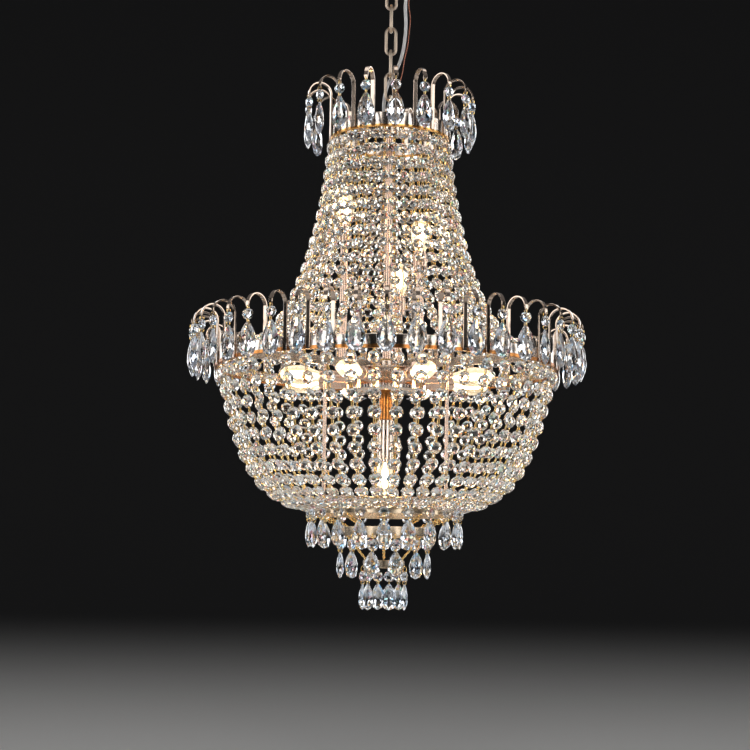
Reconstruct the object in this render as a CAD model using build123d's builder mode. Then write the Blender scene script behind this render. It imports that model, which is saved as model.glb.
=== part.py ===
from build123d import *
from math import cos, pi, radians, sin, tan
import os

# Crystal chandelier. Millimetres, +Z up, origin on the ceiling at the middle of the rose.
# The front is -Y. A depth is measured down from the ceiling, so depth d lies at z = -d.

# Clearances: between fixed pieces, and between pieces that hang in one another
seat_gap = 0.1
hang_gap = 0.3

# Ceiling rose
rose_radius = 57.0
rose_depth = 28.0
rose_wall = 1.0
rose_edge = 5.0
rose_sides = 24
crossbar_length = 104.0
crossbar_width = 20.0
crossbar_thickness = 2.0
ceiling_screw_spacing = 70.0
ceiling_screw_radius = 2.2
canopy_screw_spacing = 88.0
canopy_screw_radius = 2.0
knurled_head_radius = 5.0
knurled_head_height = 6.0
nipple_radius = 5.0
nipple_wall = 1.4
nipple_rest = 0.5
nut_height = 3.0
loop_radius = 8.0
loop_pivot_depth = 50.05
collar_radius = 9.0
collar_height = 4.0
grip_offset = 20.0
grip_length = 12.0
grip_radius = 6.0

# Chain and bail
wire = 3.8
wire_sides = 6
bend_chords = 4
link_length = 37.0
link_width = 15.5
link_count = 5
bail_gap = 1.1
bail_height = 39.83

# Crowns: flat bands on edge that carry J hooks
band_thickness = 1.4
band_height = 15.3
top_radius = 73.0
top_hook_count = 18
top_hook_turn = 3.8
mid_radius = 207.4
crown_drop = 287.0
mid_hook_count = 44
hook_width = 5.0
hook_thickness = 1.8
hook_reach = 27.8
hook_rise = 50.5
hook_chords = 3
hook_end_turn = -15.0
ring_wire = 2.6

# Crystals: an octagon bead over a teardrop prism
bead_width = 14.0
bead_pitch = 20.0
bead_depth = 4.5
drop_width = 22.0
drop_length = 38.4
drop_belly = 0.66
drop_room = 4.182
pinch_width = 2.4
pinch_gap = 0.8
crystal_flatness = 0.5
crystal_shape = ((1 / 3, 0.5), (-2 / 3, 0.0), (1 / 3, -0.5))

# Strands of the skirt and of the basket
skirt_strand_count = 42
basket_strand_count = 48
strand_spine = 1.2
strand_end = 2.0
strand_ridge = 5.0

# Stem, hub and lamps
column_radius = 5.0
column_wall = 1.2
spoke_width = 4.0
spoke_height = 10.0
spoke_turns = (60.0, 180.0, -60.0)
hub_radius = 14.0
drum_radius = 50.0
drum_height = 26.0
drum_wall = 1.5
drum_sides = 16
cover_radius = 62.0
cover_thickness = 2.0
mid_lamp_count = 8
socket_radius = 8.25
socket_length = 27.0
lamp_base_radius = 7.0
lamp_base_length = 11.0
lamp_room = 0.75
lamp_sides = 8
lamp_lip = 4.0
bulb_radius = 14.0
bulb_shape = ((0.0, 0.42), (0.5, 1.0), (0.82, 0.68))
bulb_length = 47.0
upper_lamp_radius = 55.0
upper_lamps = ((-75.0, 137.4), (45.0, 100.4), (165.0, 62.4))
upper_socket_length = 26.0
upper_bulb_length = 40.0
stem_radius = 4.5
stem_nut_height = 7.0
stem_nut_wall = 3.5
lower_rod_radius = 8.0
lower_socket_radius = 9.5
lower_socket_length = 52.0
lower_bulb_length = 38.0

# Bottom tiers: outer radius and height of each band, and its drop from the band above it
bottom_radius = 86.4
bottom_drop = 180.6
bottom_height = 9.5
bottom_sides = 40
bottom_drop_count = 20
tier2_radius = 51.0
tier2_drop = 23.6
tier2_height = 10.9
tier2_sides = 20
tier2_drop_count = 12
tier3_drop = 39.4
tier3_height = 9.0
tier3_sides = 12
tier3_drop_count = 6
tier_band = 1.2
fine_chain = 1.2
eye_lean = -3.2
eye_neck = 2.6
rod_radius = 1.6
plate_radius = 16.0
plate_thickness = 3.0
plate_rise = 12.9
plate_gap = 4.0
arm_width = 8.0

cable_room = 0.8

# Cords, as points chosen by hand from the grip to the top of the body
cord_radius = 2.0
earth_radius = 0.65
cord_sides = 6
earth_sides = 3
cord_points = [
    (20.0, 0.0, -40.0),
    (20.0, 0.0, -52.0),
    (16.5, 1.0, -72.0),
    (18.6, 2.0, -94.0),
    (17.4, 4.0, -116.0),
    (14.0, 6.5, -136.0),
    (7.5, 10.2, -153.0),
    (-2.5, 11.4, -168.0),
    (-7.4, 10.0, -186.0),
    (-8.0, 8.0, -206.0),
    (-8.0, 8.0, -229.4),
]
earth_points = [
    (24.0, 0.0, -40.0),
    (24.0, 0.0, -52.0),
    (20.6, 1.0, -71.0),
    (24.2, 1.0, -89.0),
    (22.6, 2.0, -105.0),
    (21.4, 3.5, -121.0),
    (17.0, 6.0, -140.0),
    (14.6, 9.5, -158.0),
    (9.0, 12.0, -176.0),
    (5.6, 10.8, -194.0),
    (6.0, 8.0, -211.0),
    (6.0, 8.0, -229.4),
]

# Levels and radii that follow
bend_reach = wire / 2 / cos(pi / 2 / bend_chords)
link_pitch = link_length - wire - 2 * bend_reach - hang_gap
first_link_depth = loop_pivot_depth - 2 * bend_reach - hang_gap + (link_length - wire) / 2
last_link_depth = first_link_depth + (link_count - 1) * link_pitch
bail_depth = last_link_depth + (link_length - wire) / 2 - 2 * bend_reach - hang_gap
bail_radius = column_radius + wire / 2 + bail_gap
top_band_depth = bail_depth + bail_height
mid_band_depth = top_band_depth + crown_drop
bottom_depth = mid_band_depth + bottom_drop
tier2_depth = bottom_depth + tier2_drop
tier3_depth = tier2_depth + tier3_drop
top_ring_depth = top_band_depth + band_height + seat_gap
skirt_top_depth = top_ring_depth + ring_wire + hang_gap
mid_ring_depth = mid_band_depth + band_height - ring_wire
ring_radius = mid_radius - band_thickness - seat_gap
strand_ring_radius = ring_radius - ring_wire / 2
spoke_depth = mid_ring_depth - spoke_height
drum_depth = mid_ring_depth + 2 * cover_thickness
drum_foot = drum_depth + drum_height
lamp_depth = drum_depth + socket_radius + lamp_room
mid_lamp_first = 180.0 / mid_lamp_count
rod_place = bottom_radius - tier_band - seat_gap - rod_radius
plate_depth = bottom_depth - plate_rise
lower_bulb_depth = plate_depth - plate_gap - lower_bulb_length
lower_socket_depth = lower_bulb_depth - lower_socket_length

os.makedirs("parts", exist_ok=True)


def save(piece, name):
    piece.part.label = name
    export_step(piece.part, f"parts/{name}.step")


def turned(front_angle):
    """The turn about Z that puts local X at an angle from the front, counted towards +X."""
    return front_angle - 90.0


def around(count, first=0.0, radius=0.0):
    """Even places round the axis, the first one at an angle from the front."""
    return PolarLocations(radius, count, turned(first))


def flats(count):
    """The turn of a polygon whose first flat, not its first corner, faces local X."""
    return 180.0 / count


# ---------------------------------------------------------------- shared forms


def post(radius, low, high, sides, bore=0.0, bore_sides=0):
    """An upright prism or tube with the flats at its radius."""
    with BuildPart() as piece:
        with BuildSketch(Plane.XY.offset(low)):
            RegularPolygon(radius, sides, major_radius=False)
            if bore:
                RegularPolygon(bore, bore_sides or sides, major_radius=False, mode=Mode.SUBTRACT)
        extrude(amount=high - low)
    return piece.part


def band(radius, thickness, depth, height, sides, first):
    """A flat ring on edge, bent with a flat under each hook."""
    with BuildPart() as piece:
        with BuildSketch(Plane.XY.offset(-depth - height)):
            turn = turned(first) + flats(sides)
            RegularPolygon(radius, sides, major_radius=False, rotation=turn)
            inner = radius - thickness
            RegularPolygon(inner, sides, major_radius=False, rotation=turn, mode=Mode.SUBTRACT)
        extrude(amount=height)
    return piece


def bend(radius, start, end, chords):
    """Points of a bend, as chords of a circle about the origin, angles in degrees."""
    steps = [radians(start + (end - start) * i / chords) for i in range(chords + 1)]
    return [(radius * cos(a), radius * sin(a)) for a in steps]


def j_hook(seat_radius, foot_depth):
    """Strip hook in the local XZ plane: a leg up the band, and a bow outwards and down to its tip."""
    middle = seat_radius + hook_thickness / 2 + hook_reach / 2
    bow = hook_reach / 2
    centre_z = -foot_depth + hook_rise + band_height - bow - hook_thickness / 2
    outer = bend(bow + hook_thickness / 2, 180, hook_end_turn, hook_chords)
    inner = bend(bow - hook_thickness / 2, hook_end_turn, 180, hook_chords)
    with BuildPart() as hook:
        with BuildSketch(Plane.XZ):
            with BuildLine():
                Polyline(
                    (seat_radius, -foot_depth),
                    *[(middle + x, centre_z + z) for x, z in outer + inner],
                    (seat_radius + hook_thickness, -foot_depth),
                    close=True,
                )
            make_face()
        extrude(amount=hook_width / 2, both=True)
    return hook.part


def polyhedron(points, faces):
    """A solid from its corners and the corner numbers of each flat face."""
    sides = [Face(Wire.make_polygon([Vector(*points[i]) for i in face])) for face in faces]
    return Solid(Shell(sides))


def stacked(shape, rings, foot=None, lean=0.0):
    """A faceted solid: one outline at several levels and sizes, from a flat or an apex to an apex.

    The rings are (z, size), from the top down or from the bottom up. An apex named as foot
    closes the start, and the last ring always has size 0.
    """
    points, faces, start = [], [], 0
    count = len(shape)
    if foot is not None:
        points.append((lean, 0.0, foot))
        start = 1
    for z, size in rings[:-1]:
        points += [(x * size, y * size, z) for x, y in shape]
    points.append((0.0, 0.0, rings[-1][0]))
    corners = range(count)
    if foot is None:
        faces.append(tuple(corners))
    else:
        faces += [(0, start + i, start + (i + 1) % count) for i in corners]
    for level in range(len(rings) - 2):
        near = start + level * count
        far = near + count
        for i in corners:
            after = (i + 1) % count
            faces.append((near + i, near + after, far + after, far + i))
    near = start + (len(rings) - 2) * count
    faces += [(near + i, near + (i + 1) % count, len(points) - 1) for i in corners]
    return polyhedron(points, faces)


def crystal_drop(lean=0.0, neck=0.0):
    """An octagon bead and a teardrop below it, with a flat front and a ridge behind.

    The wire eye at the top is at z = 0, and leans out of the middle by the lean.
    """
    bead_z = -bead_width / 2 - neck
    pinch_z = bead_z - bead_width / 2 - pinch_gap
    belly_z = pinch_z - drop_belly * drop_length
    shape = [(x * crystal_flatness, y) for x, y in crystal_shape]
    rings = [(bead_z, bead_width), (pinch_z, pinch_width), (belly_z, drop_width)]
    return stacked(shape, rings + [(pinch_z - drop_length, 0)], foot=0.0, lean=lean)


def bead_strand(line, shifted, knots):
    """A strand of flat beads along a line in the XZ plane, pinned end to end.

    Each bead is a rhomb across local Y. Its back slopes to a narrow spine on the axis side,
    which runs straight between a few knots. Every second strand starts with half a bead, so
    that wide and narrow places lie side by side where strands crowd together.
    """
    length = line.length
    count = round(length / bead_pitch)
    if shifted:
        places = [0.0] + [i + 0.5 for i in range(count)] + [float(count)]
    else:
        places = [float(i) for i in range(count + 1)]
    joints = [line.position_at(place / count) for place in places]
    half = [bead_width / 2] * (len(places) - 1)
    if shifted:
        half[0] = strand_end
        half[-1] = strand_end
    last = len(joints) - 1
    knot_joints = sorted({round(k * last) for k in knots})
    points = [(p.X, 0.0, p.Z) for p in joints]
    left, right = [], []
    for i in range(last):
        middle = (joints[i] + joints[i + 1]) * 0.5
        left.append(len(points))
        points.append((middle.X, -half[i], middle.Z))
        right.append(len(points))
        points.append((middle.X, half[i], middle.Z))
    spine = []
    for j in knot_joints:
        way = line.tangent_at(places[j] / count)
        deep = bead_depth if 0 < j < last else seat_gap * 4
        side = strand_spine if 0 < j < last else seat_gap * 3
        x = joints[j].X + way.Z * deep
        z = joints[j].Z - way.X * deep
        spine.append((len(points), len(points) + 1))
        points.append((x, -side, z))
        points.append((x, side, z))
    faces = [(i, right[i], i + 1, left[i]) for i in range(last)]
    changes = [(a + b) // 2 for a, b in zip(knot_joints, knot_joints[1:])]
    for edge, line_side in ((left, 0), (right, 1)):
        knot = 0
        for i in range(last):
            if knot < len(changes) and i == changes[knot]:
                faces.append((i, spine[knot][line_side], spine[knot + 1][line_side]))
                knot += 1
            foot = spine[knot][line_side]
            faces.append((i, edge[i], foot))
            faces.append((edge[i], i + 1, foot))
    for (a, b), (c, d) in zip(spine, spine[1:]):
        faces.append((a, c, d, b))
    faces.append((0, spine[0][0], spine[0][1]))
    faces.append((last, spine[-1][1], spine[-1][0]))
    return polyhedron(points, faces)


def strand_set(strands_in_turn, count, name):
    """Strands in even places round the axis, the given forms in turn."""
    step = 360.0 / count
    kinds = len(strands_in_turn)
    with BuildPart() as strands:
        for number, strand in enumerate(strands_in_turn):
            with around(count // kinds, step * (number + 0.5)):
                add(strand, clean=False)
    save(strands, name)


def ridge_strand(line, knots, count):
    """A strand as one ribbon with a ridge on the axis side, drawn in at its ends.

    It is as wide as its beads where its neighbours leave it that room, and narrower where
    the strands crowd together.
    """
    points, faces = [], []
    for share in knots:
        place = line.position_at(share)
        way = line.tangent_at(share)
        room = pi * place.X / count - seat_gap
        half = min(bead_width / 2, room) if share < 1 else strand_end
        deep = strand_ridge if 0 < share < 1 else 2 * hang_gap
        points += [(place.X, -half, place.Z), (place.X, half, place.Z)]
        points.append((place.X + way.Z * deep, 0.0, place.Z - way.X * deep))
    for level in range(len(knots) - 1):
        a, b, c = (3 * level + i for i in range(3))
        faces.append((a, b, b + 3, a + 3))
        for near, other in ((b, c), (c, a)):
            faces += [(near, other, other + 3), (near, other + 3, near + 3)]
    faces += [(0, 1, 2), tuple(len(points) - i for i in (1, 2, 3))]
    return polyhedron(points, faces)


# ---------------------------------------------------------------- ceiling rose

with BuildPart() as rose_crossbar:
    with BuildSketch(Plane.XY.offset(-crossbar_thickness)):
        Rectangle(crossbar_length, crossbar_width)
        with GridLocations(ceiling_screw_spacing, 0, 2, 1):
            Circle(ceiling_screw_radius, mode=Mode.SUBTRACT)
        with GridLocations(canopy_screw_spacing, 0, 2, 1):
            RegularPolygon(canopy_screw_radius + seat_gap, 8, major_radius=False, mode=Mode.SUBTRACT)
        RegularPolygon(nipple_radius + seat_gap, 12, major_radius=False, mode=Mode.SUBTRACT)
    extrude(amount=crossbar_thickness)
save(rose_crossbar, "rose_crossbar")

with BuildPart() as rose_cup:
    for shrink, mode in ((0.0, Mode.ADD), (rose_wall, Mode.SUBTRACT)):
        radius = rose_radius - shrink
        foot = -rose_depth + shrink
        edge = rose_edge - shrink
        with BuildSketch(Plane.XY.offset(foot)):
            RegularPolygon(radius - edge, rose_sides, major_radius=False)
        with BuildSketch(Plane.XY.offset(foot + edge)):
            RegularPolygon(radius, rose_sides, major_radius=False)
        with BuildSketch(Plane.XY):
            RegularPolygon(radius, rose_sides, major_radius=False)
        loft(ruled=True, mode=mode)
    with BuildSketch(Plane.XY.offset(-rose_depth)):
        RegularPolygon(nipple_radius + seat_gap, 12, major_radius=False)
        with GridLocations(canopy_screw_spacing, 0, 2, 1):
            RegularPolygon(canopy_screw_radius + seat_gap, 8, major_radius=False)
        with Locations((grip_offset + cord_radius, 0)):
            RegularPolygon(grip_radius - rose_wall, 8, major_radius=False)
    extrude(amount=rose_wall, mode=Mode.SUBTRACT)
save(rose_cup, "rose_cup")

with BuildPart() as rose_screws:
    with GridLocations(canopy_screw_spacing, 0, 2, 1):
        add(post(canopy_screw_radius, -rose_depth, -seat_gap, 8))
        add(post(knurled_head_radius, -rose_depth - knurled_head_height, -rose_depth, 12))
save(rose_screws, "rose_screws")

nipple_foot = -rose_depth - collar_height + seat_gap
with BuildPart() as rose_nipple:
    add(post(nipple_radius, nipple_foot, -nipple_rest, 12, nipple_radius - nipple_wall))
save(rose_nipple, "rose_nipple")

with BuildPart() as rose_nut:
    top = -crossbar_thickness
    add(post(nipple_radius + nut_height, top - nut_height, top, 6, nipple_radius + seat_gap, 12))
save(rose_nut, "rose_nut")

with BuildPart() as rose_loop:
    add(post(collar_radius, -rose_depth - collar_height, -rose_depth, 12, nipple_radius + seat_gap))
    eye_depth = loop_pivot_depth - loop_radius
    add(post(collar_radius, loop_radius - eye_depth, -rose_depth - collar_height, 12))
    with BuildLine(Plane.YZ) as eye:
        Polyline(*[(y, z - eye_depth) for y, z in bend(loop_radius, 90, 450, 2 * bend_chords)])
    with BuildSketch(Plane.XZ) as eye_wire:
        with Locations((0, loop_radius - eye_depth)):
            RegularPolygon(wire / 2, wire_sides)
    sweep(sections=eye_wire.sketch, path=eye.line, transition=Transition.RIGHT)
save(rose_loop, "rose_loop")

with BuildPart() as cord_grip:
    with Locations((grip_offset + cord_radius, 0)):
        add(post(grip_radius, -rose_depth - grip_length, -rose_depth, 8))
save(cord_grip, "cord_grip")


# ---------------------------------------------------------------- chain and bail


def chain_link(middle_depth, plane):
    """An oblong wire link that stands in an upright plane."""
    half = (link_length - wire) / 2
    bow = (link_width - wire) / 2
    upper = [(x, z + half - bow) for x, z in bend(bow, 0, 180, bend_chords)]
    lower = [(x, z - half + bow) for x, z in bend(bow, 180, 360, bend_chords)]
    with BuildPart() as link:
        with BuildLine(plane) as path:
            Polyline(*[(x, z - middle_depth) for x, z in upper + lower], close=True)
        with BuildSketch(Plane(path.line @ 0, z_dir=(0, 0, 1))) as section:
            RegularPolygon(wire / 2, wire_sides)
        sweep(sections=section.sketch, path=path.line, transition=Transition.RIGHT)
    return link


for number in range(link_count):
    plane = Plane.XZ if number % 2 == 0 else Plane.YZ
    save(chain_link(first_link_depth + number * link_pitch, plane), f"chain_link_{number + 1}")

with BuildPart() as bail:
    bow_depth = bail_depth + bail_radius
    bow = [(y, z - bow_depth) for y, z in bend(bail_radius, 0, 180, bend_chords)]
    with BuildLine(Plane.YZ) as bow_line:
        Polyline((bail_radius, -top_band_depth), *bow, (-bail_radius, -top_band_depth))
    with BuildSketch(Plane.XY.offset(-top_band_depth)) as bail_wire:
        with Locations((0, bail_radius)):
            RegularPolygon(wire / 2, wire_sides)
    sweep(sections=bail_wire.sketch, path=bow_line.line, transition=Transition.RIGHT)
save(bail, "bail")

# ---------------------------------------------------------------- top crown

top_hook_step = 360.0 / top_hook_count
top_arm_turns = [top_hook_turn + top_hook_step * k for k in (3, 9, 15)]
with BuildPart() as top_spider:
    low = -top_band_depth - spoke_height
    add(post(hub_radius, low, -top_band_depth, 16, column_radius + seat_gap))
    arm_end = top_radius - band_thickness - seat_gap
    arm_start = hub_radius - spoke_width
    with BuildSketch(Plane.XY.offset(low)):
        for turn in top_arm_turns:
            with PolarLocations(0, 1, turned(turn)):
                with Locations(((arm_start + arm_end) / 2, 0)):
                    Rectangle(arm_end - arm_start, spoke_width)
    extrude(amount=spoke_height / 2)
save(top_spider, "top_spider")

top_flats = 2 * top_hook_count
top_ring = band(top_radius, band_thickness, top_band_depth, band_height, top_flats, top_hook_turn)
save(top_ring, "top_ring")

with BuildPart() as top_hooks:
    with around(top_hook_count, top_hook_turn):
        add(j_hook(top_radius + seat_gap, top_band_depth + band_height), clean=False)
save(top_hooks, "top_hooks")

ring_outer = top_radius - seat_gap
top_wire_ring = band(ring_outer, ring_wire, top_ring_depth, ring_wire, top_hook_count, top_hook_turn)
save(top_wire_ring, "top_wire_ring")


def hung(radius, depth, count, first, lean=0.0, neck=0.0):
    """Drops in even places round the axis, with their eyes at one depth."""
    drop = crystal_drop(lean, neck)
    with BuildPart() as drops:
        with around(count, first, radius):
            add(drop.moved(Location((0, 0, -depth))), clean=False)
    return drops


hook_tip_drop = hook_thickness / 2 + hook_reach / 2 * (1 - tan(radians(hook_end_turn)))
drop_reach = hook_thickness / 2 + hook_reach + seat_gap
drop_rise = hook_rise - hook_tip_drop - seat_gap
top_drop_depth = top_band_depth - drop_rise
top_pendants = hung(top_radius + drop_reach, top_drop_depth, top_hook_count, top_hook_turn)
save(top_pendants, "top_pendants")

# ---------------------------------------------------------------- skirt

skirt_end_depth = mid_ring_depth - 2 * hang_gap
skirt_height = skirt_end_depth - skirt_top_depth
skirt_start = top_radius - seat_gap - ring_wire / 2
skirt_flare = strand_ring_radius - skirt_start
skirt_knots = (0.0, 0.5, 0.76, 0.95, 1.0)
skirt_shape = ((0.0, 0.0), (0.2, 0.48), (0.375, 0.725), (0.52, 0.84), (1.0, 1.0))
with BuildLine(Plane.XZ) as skirt_line:
    skirt_way = [
        (skirt_start + skirt_flare * r, -skirt_top_depth - skirt_height * d)
        for r, d in skirt_shape
    ]
    Spline(*skirt_way)
skirt_form = ridge_strand(skirt_line.edge(), skirt_knots, skirt_strand_count)
strand_set([skirt_form], skirt_strand_count, "skirt_strands")

# ---------------------------------------------------------------- middle crown

mid_ring = band(mid_radius, band_thickness, mid_band_depth, band_height, mid_hook_count, 0.0)
save(mid_ring, "mid_ring")

with BuildPart() as mid_hooks:
    with around(mid_hook_count):
        add(j_hook(mid_radius + seat_gap, mid_band_depth + band_height), clean=False)
save(mid_hooks, "mid_hooks")

mid_wire_ring = band(ring_radius, ring_wire, mid_ring_depth, ring_wire, mid_hook_count, 0.0)
save(mid_wire_ring, "mid_wire_ring")

mid_drop_depth = mid_band_depth - drop_rise
mid_pendants = hung(mid_radius + drop_reach, mid_drop_depth, mid_hook_count, 0.0)
save(mid_pendants, "mid_pendants")

with BuildPart() as spokes:
    hub_foot = drum_depth - cover_thickness
    add(post(hub_radius, -hub_foot, -spoke_depth, 16, column_radius + seat_gap))
    spoke_start = hub_radius - spoke_width
    spoke_end = ring_radius - seat_gap
    with BuildSketch(Plane.XY.offset(-mid_ring_depth)):
        for turn in spoke_turns:
            with PolarLocations(0, 1, turned(turn)):
                with Locations(((spoke_start + spoke_end) / 2, 0)):
                    Rectangle(spoke_end - spoke_start, spoke_width)
    extrude(amount=spoke_height)
save(spokes, "spokes")

# ---------------------------------------------------------------- column and hub

with BuildPart() as column:
    column_foot = -drum_foot - column_radius
    column_head = -top_band_depth + nut_height
    add(post(column_radius, column_foot, column_head, 16, column_radius - column_wall))
save(column, "column")

with BuildPart() as column_nuts:
    bore = column_radius + seat_gap
    for low in (-top_band_depth - spoke_height - nut_height, -spoke_depth):
        add(post(column_radius + nut_height, low, low + nut_height, 6, bore, 16))
save(column_nuts, "column_nuts")

with BuildPart() as hub_cover:
    cover_top = -drum_depth + cover_thickness
    add(post(cover_radius, -drum_depth, cover_top, 24, column_radius + seat_gap, 16))
save(hub_cover, "hub_cover")

with BuildPart() as hub_drum:
    turn = turned(mid_lamp_first) + flats(drum_sides)
    with BuildSketch(Plane.XY.offset(-drum_foot)):
        RegularPolygon(drum_radius, drum_sides, major_radius=False, rotation=turn)
    extrude(amount=drum_height)
    with BuildSketch(Plane.XY.offset(-drum_foot + drum_wall)):
        RegularPolygon(drum_radius - drum_wall, drum_sides, major_radius=False, rotation=turn)
    extrude(amount=drum_height, mode=Mode.SUBTRACT)
    with BuildSketch(Plane.XY.offset(-drum_foot)):
        RegularPolygon(column_radius + seat_gap, 16, major_radius=False)
    extrude(amount=drum_wall, mode=Mode.SUBTRACT)
save(hub_drum, "hub_drum")


# ---------------------------------------------------------------- lamps


def lampholder(length, radius, base_length):
    """A socket sleeve with the lamp's narrower metal base at its mouth, along +Z from 0."""
    with BuildPart() as holder:
        add(post(radius, 0, length, lamp_sides))
        if base_length:
            add(post(lamp_base_radius, length, length + base_length, lamp_sides))
    return holder.part


def bulb(length, sides):
    """A pear-shaped bulb along +Z from 0."""
    shape = bend(1.0, 0, 360, sides)[:-1]
    rings = [(share * length, size * bulb_radius) for share, size in bulb_shape]
    return stacked(shape, rings + [(length, 0)])


outwards = Location((0, 0, -lamp_depth), (0, 90, 0))
with BuildPart() as mid_lampholders:
    with around(mid_lamp_count, mid_lamp_first, drum_radius + seat_gap):
        holder = lampholder(socket_length, socket_radius, lamp_base_length)
        add(holder.moved(outwards), clean=False)
save(mid_lampholders, "mid_lampholders")

bulb_start = drum_radius + socket_length + lamp_base_length + 2 * seat_gap
with BuildPart() as mid_bulbs:
    with around(mid_lamp_count, mid_lamp_first, bulb_start):
        add(bulb(bulb_length, lamp_sides).moved(outwards), clean=False)
save(mid_bulbs, "mid_bulbs")

# The upper lamps: (angle, height of the stem's top over the middle band)
upper_stems = [(turn, rise - mid_band_depth) for turn, rise in upper_lamps]
stem_nut_top = cover_top + stem_nut_height
with BuildPart() as lamp_stems:
    for turn, stem_top in upper_stems:
        with around(1, turn, upper_lamp_radius):
            add(post(stem_radius, cover_top + seat_gap, stem_top, lamp_sides))
save(lamp_stems, "lamp_stems")

with BuildPart() as stem_nuts:
    for turn, stem_top in upper_stems:
        with around(1, turn, upper_lamp_radius):
            nut_radius = stem_radius + stem_nut_wall
            bore = stem_radius + seat_gap
            add(post(nut_radius, cover_top, stem_nut_top, 6, bore, lamp_sides))
save(stem_nuts, "stem_nuts")

with BuildPart() as upper_lampholders:
    for turn, stem_top in upper_stems:
        with around(1, turn, upper_lamp_radius):
            holder = lampholder(upper_socket_length - lamp_lip, socket_radius, lamp_lip)
            add(holder.moved(Location((0, 0, stem_top + seat_gap))))
save(upper_lampholders, "upper_lampholders")

with BuildPart() as upper_bulbs:
    for turn, stem_top in upper_stems:
        with around(1, turn, upper_lamp_radius):
            bulb_foot = stem_top + upper_socket_length + 2 * seat_gap
            add(bulb(upper_bulb_length, lamp_sides).moved(Location((0, 0, bulb_foot))))
save(upper_bulbs, "upper_bulbs")

with BuildPart() as lower_rod:
    bore = column_radius + seat_gap
    add(post(lower_rod_radius, -lower_socket_depth, -drum_foot, 16, bore))
save(lower_rod, "lower_rod")

downwards = Location((0, 0, -lower_socket_depth - seat_gap), (180, 0, 0))
with BuildPart() as lower_lampholder:
    holder = lampholder(lower_socket_length - lamp_lip, lower_socket_radius, lamp_lip)
    add(holder.moved(downwards))
save(lower_lampholder, "lower_lampholder")

below_socket = Location((0, 0, -lower_bulb_depth - 2 * seat_gap), (180, 0, 0))
with BuildPart() as lower_bulb:
    add(bulb(lower_bulb_length, 12).moved(below_socket))
save(lower_bulb, "lower_bulb")

# ---------------------------------------------------------------- basket

basket_start_depth = mid_band_depth + band_height + hang_gap
basket_height = bottom_depth + hang_gap - basket_start_depth
basket_end = bottom_radius + 2 * hang_gap
basket_draw = strand_ring_radius - basket_end
basket_knots = (0.0, 0.42, 0.74, 1.0)
basket_shape = ((1.0, 0.0), (0.86, 0.35), (0.72, 0.64), (0.51, 0.86), (0.25, 0.975), (0.0, 1.0))
with BuildLine(Plane.XZ) as basket_line:
    basket_way = [
        (basket_end + basket_draw * r, -basket_start_depth - basket_height * d)
        for r, d in basket_shape
    ]
    Spline(*basket_way)
basket_forms = [bead_strand(basket_line.edge(), shifted, basket_knots) for shifted in (False, True)]
strand_set(basket_forms, basket_strand_count, "basket_strands")

with BuildPart() as support_rods:
    for turn in spoke_turns:
        with around(1, turn, rod_place):
            add(post(rod_radius * cos(pi / 8), -bottom_depth - bottom_height, -mid_ring_depth, 8))
save(support_rods, "support_rods")

with BuildPart() as bottom_plate:
    add(post(plate_radius, -plate_depth - plate_thickness, -plate_depth, 16))
    arm_end = rod_place - rod_radius - seat_gap
    with BuildSketch(Plane.XY.offset(-plate_depth - plate_thickness)):
        for turn in spoke_turns:
            with PolarLocations(0, 1, turned(turn)):
                with Locations((arm_end / 2, 0)):
                    Rectangle(arm_end, arm_width)
    extrude(amount=plate_thickness)
save(bottom_plate, "bottom_plate")

with BuildPart() as bottom_nut:
    low = -plate_depth - plate_thickness
    add(post(lower_rod_radius, low - nut_height, low, 6))
save(bottom_nut, "bottom_nut")

# ---------------------------------------------------------------- bottom tiers

bottom_ring = band(bottom_radius, tier_band, bottom_depth, bottom_height, bottom_sides, 0.0)
save(bottom_ring, "bottom_ring")

bead_back = bead_width * crystal_flatness * 2 / 3
bottom_drop_radius = bottom_radius + hang_gap + bead_back
bottom_pendants = hung(bottom_drop_radius, bottom_depth + 4 * hang_gap, bottom_drop_count, 0.0)
save(bottom_pendants, "bottom_pendants")


def sloping_chains(count, first, upper, lower, name):
    """Fine chains, one straight run each, between two (radius, depth) places."""
    with BuildPart() as run:
        with BuildLine(Plane.XZ) as path:
            Line((upper[0], -upper[1]), (lower[0], -lower[1]))
        with BuildSketch(Plane(path.line @ 0, z_dir=path.line % 0)) as section:
            Rectangle(fine_chain, fine_chain)
        sweep(sections=section.sketch, path=path.line)
    with BuildPart() as chains:
        with around(count, first):
            add(run.part, clean=False)
    save(chains, name)


# The drops of the last ring hang side by side, so its size follows from them
tier3_drop_radius = (drop_width + drop_room) / 2 / sin(pi / tier3_drop_count)
tier3_radius = (tier3_drop_radius - hang_gap) * cos(pi / tier3_sides)
tier2_foot = tier2_depth + tier2_height
tier3_foot = tier3_depth + tier3_height
tier2_upper = (bottom_radius - tier_band / 2, bottom_depth + bottom_height + fine_chain)
tier2_lower = (tier2_radius - tier_band / 2, tier2_depth - fine_chain)
sloping_chains(tier2_drop_count, 0.0, tier2_upper, tier2_lower, "tier2_chains")
tier2_ring = band(tier2_radius, tier_band, tier2_depth, tier2_height, tier2_sides, 0.0)
save(tier2_ring, "tier2_ring")
tier2_pendants = hung(
    tier2_radius - eye_lean, tier2_foot + hang_gap, tier2_drop_count, 15.0, eye_lean, eye_neck
)
save(tier2_pendants, "tier2_pendants")

tier3_upper = (tier2_radius - tier_band / 2, tier2_foot + fine_chain)
tier3_lower = (tier3_radius - tier_band / 2, tier3_depth - fine_chain)
sloping_chains(tier3_drop_count, 0.0, tier3_upper, tier3_lower, "tier3_chains")
tier3_ring = band(tier3_radius, tier_band, tier3_depth, tier3_height, tier3_sides, 0.0)
save(tier3_ring, "tier3_ring")

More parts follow.
